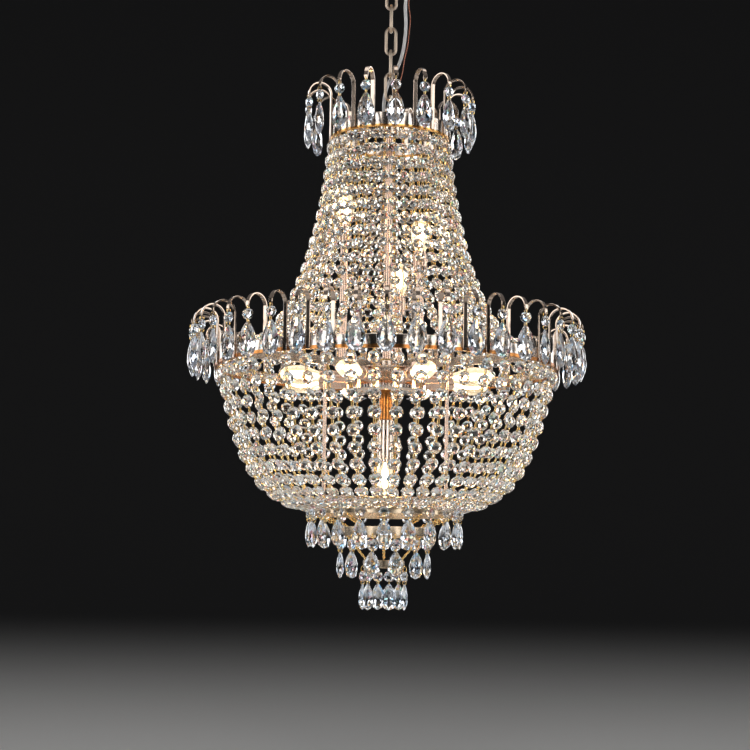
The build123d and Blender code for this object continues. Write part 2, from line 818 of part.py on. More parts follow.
for number in range(tier3_drop_count):
    first = 15.0 + 360.0 / tier3_drop_count * number
    drop = hung(tier3_drop_radius, tier3_foot + hang_gap, 1, first, 0.0, eye_neck)
    save(drop, f"drop_{number + 1}")

# ---------------------------------------------------------------- cords


def tangent_radii(points):
    """For each corner of a route, the largest arc that its two runs allow."""
    radii = []
    for before, corner, after in zip(points, points[1:], points[2:]):
        run_in = Vector(*corner) - Vector(*before)
        run_out = Vector(*after) - Vector(*corner)
        half_turn = radians(run_in.get_angle(run_out)) / 2
        radii.append(0.45 * min(run_in.length, run_out.length) / tan(half_turn))
    return radii


def cord(points, radius, sides, name):
    """A cord along straight runs joined by tangent arcs."""
    radii = tangent_radii(points)
    with BuildPart() as piece:
        with BuildLine() as route:
            FilletPolyline(*points, radius=radii)
        with BuildSketch(Plane(route.line @ 0, z_dir=route.line % 0)) as section:
            RegularPolygon(radius, sides)
        sweep(sections=section.sketch, path=route.line)
    length = route.wire().length
    share = piece.part.volume / section.sketch.area / length
    print(name, "length", round(length, 1), "radii", [round(r, 1) for r in radii])
    print(name, "volume over section times length", round(share, 4))
    save(piece, name)


cord(cord_points, cord_radius, cord_sides, "power_cord")
cord(earth_points, earth_radius, earth_sides, "earth_wire")

inner_cable_radius = column_radius - column_wall - cable_room
with BuildPart() as inner_cable:
    add(post(inner_cable_radius, -drum_foot + drum_wall, -top_band_depth, 6))
save(inner_cable, "inner_cable")
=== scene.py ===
from math import cos, pi, radians, sin

import bpy
import numpy as np
from bpy.props import FloatProperty, FloatVectorProperty, IntProperty, PointerProperty
from mathutils import Matrix

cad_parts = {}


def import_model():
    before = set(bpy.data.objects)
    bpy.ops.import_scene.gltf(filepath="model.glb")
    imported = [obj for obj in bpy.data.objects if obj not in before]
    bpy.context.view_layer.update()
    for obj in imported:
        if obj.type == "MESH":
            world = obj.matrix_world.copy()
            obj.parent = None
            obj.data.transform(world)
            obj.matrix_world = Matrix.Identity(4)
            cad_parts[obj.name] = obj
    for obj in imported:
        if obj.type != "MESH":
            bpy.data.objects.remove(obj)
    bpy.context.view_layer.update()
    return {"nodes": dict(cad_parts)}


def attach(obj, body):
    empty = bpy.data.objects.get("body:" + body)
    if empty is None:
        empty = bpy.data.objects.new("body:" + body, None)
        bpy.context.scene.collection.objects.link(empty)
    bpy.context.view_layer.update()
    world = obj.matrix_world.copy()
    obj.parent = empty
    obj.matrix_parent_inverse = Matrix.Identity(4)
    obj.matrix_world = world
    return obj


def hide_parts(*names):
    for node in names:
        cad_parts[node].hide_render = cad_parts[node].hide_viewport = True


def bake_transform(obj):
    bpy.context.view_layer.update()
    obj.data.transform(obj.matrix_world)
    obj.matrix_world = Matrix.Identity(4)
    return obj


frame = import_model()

bl_info = {
    "name": "Crystal chandelier",
    "version": (1, 0, 0),
    "blender": (4, 5, 0),
    "location": "3D View > Sidebar > Chandelier",
    "description": "Dresses the chandelier's packed frame in crystal, plated metal, glass and cable",
    "category": "Object",
}

MM = 0.001
FRONT = -pi / 2
Z_AXIS = (0.0, 0.0, 1.0)

# Levels and sizes of the frame in millimetres: the ceiling is at level 0 and the rest is below it
ROSE_RADIUS, ROSE_DEPTH, SCREW_PLACE = 57, 28, 44
LINK_LENGTH, LINK_WIDTH, LINK_WIRE, LINK_COUNT = 37, 15.5, 3.8, 5
WIRE_RADIUS = 1.88
SPIDER_TOP, SPIDER_FOOT = -229.4, -239.4
TOP_RADIUS, TOP_RING_RADIUS, TOP_COUNT, TOP_TURN = 73, 71.6, 18, radians(3.8)
MID_BAND, MID_RADIUS, MID_RING_RADIUS, MID_COUNT = -516.4, 207.4, 204.6, 44
BAND_HEIGHT, BAND_THICKNESS, TIER_THICKNESS = 15.3, 1.4, 1.2
HOOK_REACH, HOOK_RISE = 27.8, 50.5
SPOKE_TOP, SPOKE_FOOT = -519.1, -531.1
ARM_TURNS = (60, 180, -60)
COLUMN_RADIUS, NUT_RADIUS = 5, 8
DRUM_TOP, DRUM_FOOT, HUB_LAMP_LEVEL, SOCKET_RADIUS = -533.2, -559.1, -542.1, 8.25
UPPER_LAMPS, UPPER_LAMP_PLACE = ((-75, 379), (45, 416), (165, 454)), 55
PLATE_TOP, PLATE_FOOT = -684.1, -687.1
SKIRT_LINE = [(71.6, -247.7), (78.2, -307), (94.6, -382.5), (119.6, -451.3), (140.8, -483.6), (204.6, -528.5)]
BASKET_LINE = [(204.6, -532), (188.1, -589.9), (171.7, -637.8), (147, -674.2), (116.4, -693.2), (87, -697.3)]
CORD_ROUTE = [
    (20, 0, -40), (20, 0, -52), (16.5, 1, -72), (18.6, 2, -94), (17.4, 4, -116),
    (14, 6.5, -136), (7.5, 10.2, -153), (-2.5, 11.4, -168), (-7.4, 10, -186),
    (-8, 8, -206), (-8, 8, -229.4),
]
EARTH_ROUTE = [
    (24, 0, -40), (24, 0, -52), (20.6, 1, -71), (24.2, 1, -89), (22.6, 2, -105),
    (21.4, 3.5, -121), (17, 6, -140), (14.6, 9.5, -158), (9, 12, -176),
    (5.6, 10.8, -194), (6, 8, -211), (6, 8, -229.4),
]

# Looks: the finish in view, and a slot name beside it
CHAMPAGNE = ("Champagne plating", "champagne_metal")
PALE_GOLD = ("Pale gold plating", "champagne_metal")
DRUM = ("Polished drum", "champagne_metal")
SATIN = ("Satin champagne plating", "light_gold")
LIGHT_GOLD = ("Light gold plating", "light_gold")
STEM = ("Rose gold plating", "light_gold")
ROSE_GOLD = ("Rose gold plating", "copper_metal")
COPPER = ("Copper plating", "copper_metal")
GLASS = ("Lamp glass", "lamp_glass")
FILAMENT = ("Lit filament", "lamp_glass")

# The floor and its curved wall, in millimetres
FLOOR_LEVEL, FLOOR_RADIUS, COVE_BEND, WALL_TOP, COVE_SIDES = -1600, 3600, 1400, 2600, 96


# ---- settings


def length_prop(name, description, default):
    return FloatProperty(name=name, description=description, default=default, unit="LENGTH")


def colour_prop(name, description, default):
    return FloatVectorProperty(name=name, description=description, default=default, subtype="COLOR")


class ChandelierSizes(bpy.types.PropertyGroup):
    skirt_bead: length_prop("Skirt bead", "Octagon bead of the skirt, across its corners", 0.0139)
    basket_bead: length_prop("Basket bead", "Octagon bead of the basket, across its corners", 0.0162)
    bead_thickness: length_prop("Bead thickness", "Octagon bead, table to table", 0.0076)
    bead_twist: FloatProperty(
        name="Bead twist", description="How far a bead may turn on its strand", default=0.16, subtype="ANGLE")
    drop_width: length_prop("Drop width", "Teardrop prism, at its widest", 0.022)
    drop_length: length_prop("Drop length", "Teardrop prism, tip to foot", 0.0412)
    small_width: length_prop("Small drop width", "Teardrop of the lower tiers, at its widest", 0.019)
    small_length: length_prop("Small drop length", "Teardrop of the lower tiers, tip to foot", 0.0322)
    drop_thickness: length_prop("Drop thickness", "Teardrop prism, front to back", 0.0105)
    pin_wire: length_prop("Pin wire", "Radius of the wire of pins and rings", 0.00058)
    hook_width: length_prop("Hook width", "Width of the hook strip", 0.005)
    hook_thickness: length_prop("Hook thickness", "Thickness of the hook strip", 0.0018)
    round_sides: IntProperty(name="Round sides", description="Steps round the ceiling rose", default=96)


class ChandelierFinishes(bpy.types.PropertyGroup):
    champagne: colour_prop("Champagne", "Plating of the rose and bands", (0.72, 0.61, 0.52))
    hook: colour_prop("Hook champagne", "Plating of the crown hooks", (0.52, 0.415, 0.335))
    satin: colour_prop("Satin champagne", "Plating of the chain and its loops", (0.56, 0.45, 0.35))
    rose_gold: colour_prop("Rose gold", "Plating of lampholders and stems", (0.84, 0.62, 0.5))
    red_gold: colour_prop("Red gold", "Plating of the top wire ring and lip", (0.84, 0.48, 0.17))
    gold: colour_prop("Light gold", "Plating of pins, rings and fine chains", (0.95, 0.68, 0.28))
    pale_gold: colour_prop("Pale gold", "Plating of the three lower bands", (0.86, 0.68, 0.48))
    copper: colour_prop("Copper", "Plating of the middle wire ring and lip and the lower rod", (0.62, 0.25, 0.07))
    # The pale blue tint of the drop glass is painted light: it paints the cool light that the drops refract
    crystal: colour_prop("Crystal", "Body colour of the drops", (0.84, 0.892, 0.965))
    # The cream tint of the strand glass is painted light: it paints the warm glow of the bulbs on the beads
    strand: colour_prop("Strand crystal", "Body colour of the strung beads", (1.0, 0.98, 0.94))
    glow: colour_prop("Glow", "Light of the bulbs", (1.0, 0.72, 0.38))
    floor: colour_prop("Floor", "Floor of the studio", (0.8, 0.79, 0.77))
    # Near-black wall colour: painted shade that stands for an unlit room behind the object
    backdrop: colour_prop("Backdrop", "Wall of the studio", (0.003, 0.003, 0.0034))


# ---- shapes: (points, list of face arrays), in millimetres


def spaced(count, first=0.0):
    """Angles evenly spaced round a full turn."""
    return first + np.arange(count) * 2 * pi / count


def polar(radius, angle, level):
    """Points at a radius, an angle and a level: x = r cos a, y = r sin a, z = level, broadcast together."""
    return np.stack(np.broadcast_arrays(radius * np.cos(angle), radius * np.sin(angle), level), -1)


def facing(angles):
    """The axes out, aside and up of something that looks outwards at each angle about the axis."""
    c, s, o = np.cos(angles), np.sin(angles), np.zeros(len(angles))
    return np.stack([np.stack(axis, -1) for axis in ((c, s, o), (-s, c, o), (o, o, o + 1))], 1)


def grid_faces(rows, columns, closed=False):
    """Quads between neighbouring points of a grid whose point (i, j) has number i * columns + j."""
    i, j = np.arange(rows if closed else rows - 1)[:, None], np.arange(columns)[None, :]
    i2, j2 = (i + 1) % rows, (j + 1) % columns
    corners = [i * columns + j, i * columns + j2, i2 * columns + j2, i2 * columns + j]
    return np.stack([np.broadcast_to(c, (i.size, j.size)) for c in corners], -1).reshape(-1, 4)


def end_faces(rows, columns):
    """The first and last row of such a grid as two flat faces."""
    k = np.arange(columns)
    return np.stack([k[::-1], (rows - 1) * columns + k])


def outward(shape):
    """Turns the faces round where the signed volume, a sixth of the sum of a . (b x c), is below zero."""
    points, faces = shape
    volume = 0.0
    for f in faces:
        for k in range(1, f.shape[1] - 1):
            a, b, c = points[f[:, 0]], points[f[:, k]], points[f[:, k + 1]]
            volume += np.einsum("ij,ij->", a, np.cross(b, c))
    return (points, [f[:, ::-1] for f in faces]) if volume < 0 else shape


def skin(rows, closed=False):
    """Rows of points with faces between them. Closed, the last row meets the first, or else both get a flat face."""
    rows = np.asarray(rows)
    size = rows.shape[:2]
    return outward((rows.reshape(-1, 3), [grid_faces(*size, closed)] + ([] if closed else [end_faces(*size)])))


def joined(*shapes):
    """One shape that holds all of them."""
    points = np.concatenate([s[0] for s in shapes])
    starts = np.cumsum([0] + [len(s[0]) for s in shapes])
    return points, [f + start for s, start in zip(shapes, starts) for f in s[1]]


def moved(shape, by=(0, 0, 0), scale=(1, 1, 1)):
    """The shape scaled about the origin, then shifted."""
    return shape[0] * scale + by, shape[1]


def placed(shape, axes, origins):
    """Copies of a shape: point = origin + x * axis 0 + y * axis 1 + z * axis 2, for every place."""
    points, faces = shape
    axes, origins = np.asarray(axes, float), np.asarray(origins, float)
    copies = np.einsum("nk,mkc->mnc", points, axes) + origins[:, None, :]
    shift = np.arange(len(origins))[:, None, None] * len(points)
    return copies.reshape(-1, 3), [(f[None] + shift).reshape(-1, f.shape[1]) for f in faces]


def around(shape, turns, radius=0.0, level=0.0):
    """Copies about the axis: local X points outwards at each angle, counted from the front towards +X."""
    angles = np.asarray(turns, float) + FRONT
    return placed(shape, facing(angles), polar(radius, angles, level))


def revolved(profile, sides):
    """A turned piece: each (radius, z) of the profile runs round the axis. A radius of 0 at the ends is a pole."""
    profile = np.asarray(profile, float)
    poles = profile[0, 0] == 0
    rows = profile[1:-1] if poles else profile
    rings = polar(rows[:, :1], spaced(sides), rows[:, 1:])
    if not poles:
        return skin(rings, closed=True)
    k, pole, end = np.arange(sides), np.full(sides, len(rows) * sides), (len(rows) - 1) * sides
    points = np.vstack([rings.reshape(-1, 3), (0, 0, profile[0, 1]), (0, 0, profile[-1, 1])])
    fans = [(pole, (k + 1) % sides, k), (pole + 1, end + k, end + (k + 1) % sides)]
    return outward((points, [grid_faces(len(rows), sides), *[np.stack(fan, -1) for fan in fans]]))


def rings_about(centres, one, u, two, v):
    """A row of points about each centre: point = centre + u * one + v * two."""
    return centres[:, None] + u[..., None] * one[:, None] + v[..., None] * two[:, None]


def swept(path, section, across, closed=False, sizes=None):
    """A section carried along a path: point = path + u * side + v * across, where side is across x direction."""
    path, section = np.asarray(path, float), np.asarray(section, float)
    across = np.broadcast_to(np.asarray(across, float), path.shape)
    way = np.roll(path, -1, 0) - np.roll(path, 1, 0) if closed else np.gradient(path, axis=0)
    side = np.cross(across, way)
    side /= np.linalg.norm(side, axis=1, keepdims=True)
    size = np.ones((len(path), 2)) if sizes is None else np.asarray(sizes, float)
    return skin(rings_about(path, side, size[:, :1] * section[:, 0], across, size[:, 1:] * section[:, 1]), closed)


def circle(radius, sides):
    """Points of a circle, the first half a step round."""
    angle = (np.arange(sides) + 0.5) * 2 * pi / sides
    return np.stack([radius * np.cos(angle), radius * np.sin(angle)], -1)


def strip(thickness, width, edge=0.3):
    """Outline of a flat bar with its corners taken off."""
    t, w = thickness / 2, width / 2
    return np.array([
        (t, -w + edge), (t, w - edge), (t - edge, w), (-t + edge, w),
        (-t, w - edge), (-t, -w + edge), (-t + edge, -w), (t - edge, -w),
    ])


def arm(start, end, level, height, width):
    """A flat bar with eased edges that lies along X between two radii."""
    return swept([(start, 0, level), (end, 0, level)], strip(width, height), Z_AXIS)


def wire_loop(length, width, wire, steps=7, sides=6):
    """A wire ring, pin or link: a circle carried round two half circles joined by straight sides, length along Z."""
    bow = width / 2
    a = np.linspace(0, pi, steps)
    top = np.stack([bow * np.cos(a), 0 * a, length / 2 - bow + bow * np.sin(a)], -1)
    return swept(np.vstack([top, -top]), circle(wire, sides), (0, 1, 0), closed=True)


def cut_stone(outline, count, thickness, front, middle=0.0):
    """A faceted stone that faces +X: one outline at several heights, each drawn in by a share towards its middle.

    A level of the front is (share, height as a share of the thickness, shift), and the back mirrors it. Rows meet
    in triangles where the shift changes by half a step, as facets do round a girdle, and elsewhere in quads.
    """
    levels = [(s, -h * thickness, t) for s, h, t in front] + [(s, h * thickness, t) for s, h, t in front[::-1]]
    k = np.arange(count)
    after = (k + 1) % count
    centre = np.array([0.0, middle])
    rows, faces = [], []
    for share, height, shift in levels:
        flat = centre + (outline((k + shift) * 2 * pi / count) - centre) * share
        rows.append(np.column_stack([np.full(count, height), flat]))
    for i, (low, high) in enumerate(zip(levels, levels[1:])):
        a, b = i * count, (i + 1) * count
        if high[2] == low[2]:
            patches = [(a + k, a + after, b + after, b + k)]
        elif high[2] > low[2]:
            patches = [(a + k, a + after, b + k), (b + k, a + after, b + after)]
        else:
            patches = [(a + k, b + after, b + k), (a + k, a + after, b + after)]
        faces += [np.stack(patch, -1) for patch in patches]
    faces.append(end_faces(len(levels), count))
    return outward((np.vstack(rows), faces))


def octagon_bead(width, thickness):
    """A cut octagon: table, a row of star facets, a row of girdle facets, and the same behind."""
    def outline(a):
        return np.stack([width / 2 * np.sin(a), width / 2 * np.cos(a)], -1)
    return cut_stone(outline, 8, thickness, [(0.46, 0.5, 0.0), (0.77, 0.36, 0.5), (1.0, 0.05, 0.0)])


def teardrop(width, length, thickness):
    """A cut pendant, its tip at the origin: y = w sin a sin(a/2)^0.6 / (2 widest), z = -l (1 - cos a) / 2."""
    widest = 0.8412

    def outline(a):
        a = np.mod(a, 2 * pi)
        y = width / 2 * np.sin(a) * np.abs(np.sin(a / 2)) ** 0.6 / widest
        return np.stack([y, -length / 2 * (1 - np.cos(a))], -1)
    front = [(0.12, 0.5, 0.0), (0.62, 0.35, 0.5), (1.0, 0.06, 0.0)]
    return cut_stone(outline, 12, thickness, front, middle=-0.6 * length)


def lengths_along(path):
    """How far along a path each of its points lies."""
    return np.concatenate([[0], np.cumsum(np.linalg.norm(np.diff(path, axis=0), axis=1))])


def line_through(points, steps=400):
    """A natural cubic spline through points, by chord length: its places, and how far along it each lies."""
    p = np.asarray(points, float)
    t = lengths_along(p)
    h = np.diff(t)
    n = len(p)
    m, r = np.eye(n), np.zeros_like(p)
    for i in range(1, n - 1):
        m[i, i - 1:i + 2] = h[i - 1], 2 * (h[i - 1] + h[i]), h[i]
        r[i] = 6 * ((p[i + 1] - p[i]) / h[i] - (p[i] - p[i - 1]) / h[i - 1])
    bend = np.linalg.solve(m, r)
    s = np.linspace(0, t[-1], steps)
    i = np.clip(np.searchsorted(t, s, side="right") - 1, 0, n - 2)
    a, b = ((t[i + 1] - s) / h[i])[:, None], ((s - t[i]) / h[i])[:, None]
    k = (h[i] ** 2)[:, None] / 6
    way = a * p[i] + b * p[i + 1] + k * ((a ** 3 - a) * bend[i] + (b ** 3 - b) * bend[i + 1])
    return way, lengths_along(way)


def at(line, places):
    """Places and unit directions at given lengths along a line of line_through."""
    way, along = line

    def spot(reach):
        return np.stack([np.interp(places + reach, along, way[:, k]) for k in range(2)], -1)
    run = spot(0.5) - spot(-0.5)
    return spot(0.0), run / np.linalg.norm(run, axis=-1, keepdims=True)


# ---- pieces


def mesh_object(name, shape, material, smooth):
    """One object from a shape in millimetres, at the origin."""
    points, faces = shape
    mesh = bpy.data.meshes.new(name)
    mesh.from_pydata((points * MM).tolist(), [], [face for f in faces for face in f.tolist()])
    mesh.polygons.foreach_set("use_smooth", np.full(len(mesh.polygons), smooth))
    mesh.validate()
    mesh.update()
    mesh.materials.append(material)
    made = bpy.data.objects.new(name, mesh)
    bpy.context.scene.collection.objects.link(made)
    return made


def piece(name, shape, look, *nodes, body="frame", smooth=True, sharp=35):
    """A mesh that rides on a body and stands for its CAD nodes, with edges sharp above a turn in degrees."""
    finish, slot = look
    made = mesh_object(name, shape, bpy.data.materials[finish], smooth)
    if smooth:
        made.data.set_sharp_from_angle(angle=radians(sharp))
    if body:
        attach(made, body)
    if nodes:
        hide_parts(*nodes)
    return made


# ---- finishes


OUTPUT_KINDS = {"Color": "NodeSocketColor", "Roughness": "NodeSocketFloat", "Normal": "NodeSocketVector"}
SCRATCH_SCALE = (2600, 2600, 350)
# Tints painted into the glass colour: warm, cool and rainbow cells paint the coloured light that cut facets throw, and
# the grey cell paints dark facets
PAINTED_GLASS_TINTS = [
    (0.0, (1.0, 1.0, 1.0)), (0.36, (1.0, 0.84, 0.6)), (0.46, (0.2, 0.2, 0.22)), (0.52, (1.0, 1.0, 1.0)),
    (0.68, (0.74, 0.85, 1.0)), (0.78, (1.0, 0.93, 0.78)), (0.84, (0.25, 0.6, 1.0)), (0.89, (1.0, 0.5, 0.15)),
    (0.94, (0.45, 1.0, 0.75)), (0.96, (1.0, 0.35, 0.4)),
]


def add(tree, kind, sockets, **settings):
    """A shader node with its settings. A named socket takes a plain value, or a link from another node's output."""
    made = tree.nodes.new("ShaderNode" + kind)
    for setting, value in settings.items():
        setattr(made, setting, value)
    for socket, value in sockets.items():
        if isinstance(value, bpy.types.NodeSocket):
            tree.links.new(value, made.inputs[socket])
        else:
            made.inputs[socket].default_value = value
    return made


def group_with(name, inputs):
    """A shader group and its inputs: a default of four numbers makes a colour, and one makes a number."""
    group = bpy.data.node_groups.new(name, "ShaderNodeTree")
    for label, value in inputs.items():
        kind = "NodeSocketColor" if isinstance(value, tuple) else "NodeSocketFloat"
        group.interface.new_socket(label, in_out="INPUT", socket_type=kind).default_value = value
    return group, group.nodes.new("NodeGroupInput").outputs


def put_out(group, results):
    """Gives a group its outputs, each fed by a socket inside."""
    for label in results:
        group.interface.new_socket(label, in_out="OUTPUT", socket_type=OUTPUT_KINDS[label])
    outlet = group.nodes.new("NodeGroupOutput")
    for label, source in results.items():
        group.links.new(source, outlet.inputs[label])
    return group


def plating_group():
    """Plated metal: cloudy tone with worn patches, and fine scratches along Z in gloss and bump."""
    white = (1, 1, 1, 1)
    group, given = group_with("Plating", {"Color": white, "Worn": white, "Scale": 60.0, "Roughness": 0.2})
    place = add(group, "TexCoord", {}).outputs["Object"]
    cloud = add(group, "TexNoise", {"Vector": place, "Scale": given["Scale"], "Detail": 5})
    stretch = add(group, "Mapping", {"Vector": place, "Scale": SCRATCH_SCALE})
    noise = add(group, "TexNoise", {"Vector": stretch.outputs["Vector"], "Scale": 1.0, "Detail": 3})
    scratch = noise.outputs["Fac"]
    share = add(group, "MapRange", {"Value": cloud.outputs["Fac"], "From Min": 0.42, "From Max": 0.78})
    mixed = {"Factor": share.outputs["Result"], "A": given["Color"], "B": given["Worn"]}
    tone = add(group, "Mix", mixed, data_type="RGBA")
    gloss = add(group, "Math", {0: scratch, 1: 0.08, 2: given["Roughness"]}, operation="MULTIPLY_ADD")
    bump = add(group, "Bump", {"Height": scratch, "Strength": 0.02, "Distance": 0.00005})
    return put_out(group, {
        "Color": tone.outputs["Result"], "Roughness": gloss.outputs[0], "Normal": bump.outputs["Normal"]})


def painted_glass_light_group():
    """Cut glass: mostly clear, with small cells of painted light and shade in its colour: warm, cool and rainbow tints
    paint the coloured light that facets throw, and grey cells paint dark facets.
    """
    group, given = group_with("Crystal fire", {"Color": (1, 1, 1, 1), "Scale": 260.0, "Fire": 0.5})
    place = add(group, "TexCoord", {}).outputs["Object"]
    cells = add(group, "TexVoronoi", {"Vector": place, "Scale": given["Scale"]})
    split = add(group, "SeparateColor", {"Color": cells.outputs["Color"]})
    ramp = add(group, "ValToRGB", {"Fac": split.outputs["Red"]})
    ramp.color_ramp.interpolation = "CONSTANT"
    stops = ramp.color_ramp.elements
    for stop, (position, tint) in zip(stops, PAINTED_GLASS_TINTS[:2]):
        stop.position, stop.color = position, (*tint, 1)
    for position, tint in PAINTED_GLASS_TINTS[2:]:
        stops.new(position).color = (*tint, 1)
    strength = add(group, "Math", {0: split.outputs["Green"], 1: given["Fire"]}, operation="MULTIPLY")
    mixed = {"Factor": strength.outputs[0], "A": given["Color"], "B": ramp.outputs["Color"]}
    tone = add(group, "Mix", mixed, data_type="RGBA", blend_type="MULTIPLY")
    ripple = add(group, "TexNoise", {"Vector": place, "Scale": 300})
    bump = add(group, "Bump", {"Height": ripple.outputs["Fac"], "Strength": 0.06, "Distance": 0.0002})
    return put_out(group, {"Color": tone.outputs["Result"], "Normal": bump.outputs["Normal"]})


def new_material(name):
    """A material, its node tree and its shader."""
    material = bpy.data.materials.new(name)
    material.use_nodes = True
    return material, material.node_tree, material.node_tree.nodes["Principled BSDF"]


def finish_with(name, group, values, plain):
    """A material: the group feeds Base Color, Roughness and Normal, and plain numbers sit on the shader."""
    _, tree, shader = new_material(name)
    for socket, value in plain.items():
        shader.inputs[socket].default_value = value
    effect = add(tree, "Group", {}, node_tree=group)
    for socket, value in values.items():
        effect.inputs[socket].default_value = (*value, 1) if socket in ("Color", "Worn") else value
    for source, target in (("Color", "Base Color"), ("Roughness", "Roughness"), ("Normal", "Normal")):
        if source in effect.outputs and source not in plain:
            tree.links.new(effect.outputs[source], shader.inputs[target])


def plated(group, name, colour, worn, roughness, scale, plain={"Metallic": 1.0}):
    """A finish of the plating group, metal unless other plain numbers are given."""
    finish_with(name, group, {"Color": colour, "Worn": worn, "Roughness": roughness, "Scale": scale}, plain)


def shade(colour, share):
    """A colour made lighter or darker."""
    return tuple(min(1.0, c * share) for c in colour)


class CHANDELIER_OT_finishes(bpy.types.Operator):
    """Make every finish, and give each CAD part that stays in view its own"""
    bl_idname = "chandelier.finishes"
    bl_label = "Finishes"

    def execute(self, context):
        tones = context.scene.chandelier_finishes
        metal, fire = plating_group(), painted_glass_light_group()
        for name, tone, worn, roughness, scale in (
            ("Champagne plating", tones.champagne, 0.84, 0.1, 60),
            ("Hook plating", tones.hook, 0.78, 0.12, 80),
            ("Brushed champagne plating", tones.champagne, 0.88, 0.32, 60),
            ("Pale gold plating", tones.pale_gold, 0.8, 0.2, 60),
            ("Red gold plating", tones.red_gold, 0.75, 0.1, 80),
            ("Satin champagne plating", tones.satin, 0.8, 0.26, 90),
            ("Light gold plating", tones.gold, 0.8, 0.1, 90),
            ("Copper plating", tones.copper, 0.7, 0.2, 80),
            ("Rose gold plating", tones.rose_gold, 0.85, 0.18, 80),
        ):
            plated(metal, name, tone, shade(tone, worn), roughness, scale)
        plated(metal, "Polished drum", shade(tones.champagne, 1.15), shade(tones.champagne, 0.95), 0.02, 30)
        plated(metal, "Bare copper", (0.4, 0.16, 0.1), (0.24, 0.09, 0.06), 0.22, 400)
        plated(metal, "Tinned cores", (0.74, 0.7, 0.64), (0.55, 0.4, 0.28), 0.2, 300)
        plated(metal, "Clear sheath", (0.88, 0.89, 0.9), (0.84, 0.85, 0.86), 0.16, 60,
               {"Transmission Weight": 0.35, "IOR": 1.45})
        plated(metal, "Grip plastic", (0.78, 0.78, 0.76), (0.66, 0.65, 0.62), 0.25, 90,
               {"Transmission Weight": 0.4, "IOR": 1.48})
        glow = (*tones.glow, 1)
        plated(metal, "Lit filament", (1.0, 0.85, 0.6), (1.0, 0.7, 0.4), 0.4, 200,
               {"Emission Color": glow, "Emission Strength": 18.0})
        clear = {"Transmission Weight": 1.0, "Roughness": 0.0, "IOR": 1.56}
        # The bead, drop and bulb glass take painted light and shade from the tint cells
        finish_with("Strand crystal", fire, {"Color": tones.strand, "Scale": 400.0, "Fire": 1.6}, clear)
        finish_with("Drop crystal", fire, {"Color": tones.crystal, "Scale": 260.0, "Fire": 1.5}, clear)
        finish_with("Lamp glass", fire, {"Color": (1.0, 0.97, 0.9), "Scale": 40.0, "Fire": 0.15},
                    {**clear, "IOR": 1.35, "Emission Color": glow, "Emission Strength": 0.35})
        for node, finish in (
            ("rose_crossbar", "Champagne plating"), ("rose_nut", "Light gold plating"), ("inner_cable", "Clear sheath"),
        ):
            slots = frame["nodes"][node].data.materials
            slots.clear()
            slots.append(bpy.data.materials[finish])
        return {"FINISHED"}


# ---- cords


def route_points(name, route, steps=14):
    """Points on the cord's own NURBS spline, whose control points are the route's."""
    curve = bpy.data.curves.new(name, "CURVE")
    curve.dimensions = "3D"
    spline = curve.splines.new("NURBS")
    spline.points.add(len(route) - 1)
    for point, (x, y, z) in zip(spline.points, route):
        point.co = (x * MM, y * MM, z * MM, 1)
    spline.order_u = 3
    spline.use_endpoint_u = True
    spline.resolution_u = steps
    holder = bpy.data.objects.new(name, curve)
    mesh = bpy.data.meshes.new_from_object(holder)
    found = np.array([v.co for v in mesh.vertices], float)
    bpy.data.objects.remove(holder)
    bpy.data.meshes.remove(mesh)
    bpy.data.curves.remove(curve)
    keep = np.concatenate([[True], np.linalg.norm(np.diff(found, axis=0), axis=1) > 1e-6])
    return found[keep] / MM


def cord_shape(path, radius, sides, lobes=0, twist=0, offset=0, start=0):
    """A tube about a path: radius r (1 + 0.12 cos(lobes a)), turned along its length, set off the middle as a helix."""
    way = np.gradient(path, axis=0)
    way /= np.linalg.norm(way, axis=1, keepdims=True)
    one = np.cross(way, (0, 1, 0))
    one /= np.linalg.norm(one, axis=1, keepdims=True)
    two = np.cross(way, one)
    lay = start + lengths_along(path) * twist
    centre = path + offset * (np.cos(lay)[:, None] * one + np.sin(lay)[:, None] * two)
    angle = spaced(sides)
    size = radius * (1 + (0.12 * np.cos(lobes * angle) if lobes else 0 * angle))
    turned = angle[None, :] + (lay[:, None] if lobes else 0)
    return skin(rings_about(centre, one, size * np.cos(turned), two, size * np.sin(turned)))


class CHANDELIER_OT_cords(bpy.types.Operator):
    """Hang the clear mains cable with its two cores, and the bare earth wire"""
    bl_idname = "chandelier.cords"
    bl_label = "Cords"

    def execute(self, context):
        cable = route_points("cable_route", CORD_ROUTE)
        pair = joined(*[cord_shape(cable, 0.62, 8, twist=0.28, offset=0.85, start=k * pi) for k in range(2)])
        cores = piece("cable_cores", pair, ("Tinned cores", "clear_cable"), body=None)
        sheath = piece(
            "power_cable", cord_shape(cable, 2, 16), ("Clear sheath", "clear_cable"), "power_cord", body=None)
        wire = route_points("earth_route", EARTH_ROUTE, 40)
        strand = cord_shape(wire, 0.62, 21, lobes=7, twist=0.9)
        earth = piece("earth_strands", strand, ("Bare copper", "earth_copper"), "earth_wire", body=None, sharp=80)
        for made in (cores, sheath, earth):
            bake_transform(made)
        return {"FINISHED"}


# ---- rose and chain


def fillet(corner, radius, start, end, steps=8):
    """Points of a round edge about a middle, angles in degrees."""
    a = np.radians(np.linspace(start, end, steps))
    return [(corner[0] + radius * cos(t), corner[1] + radius * sin(t)) for t in a]


def knurled_head(sides=72):
    """The head of a canopy screw: a turned outline whose widest rows carry 24 ridges, radius r (1 + 0.035 sign cos)."""
    angle = spaced(sides)
    ridge = 1 + 0.035 * np.sign(np.cos(24 * angle + 0.6))
    outline = [(4.2, -28), (4.9, -28.7), (4.9, -32.9), (4.2, -33.7), (2.2, -34)]
    return skin([polar(radius * (ridge if radius > 4.5 else 1), angle, level) for radius, level in outline])


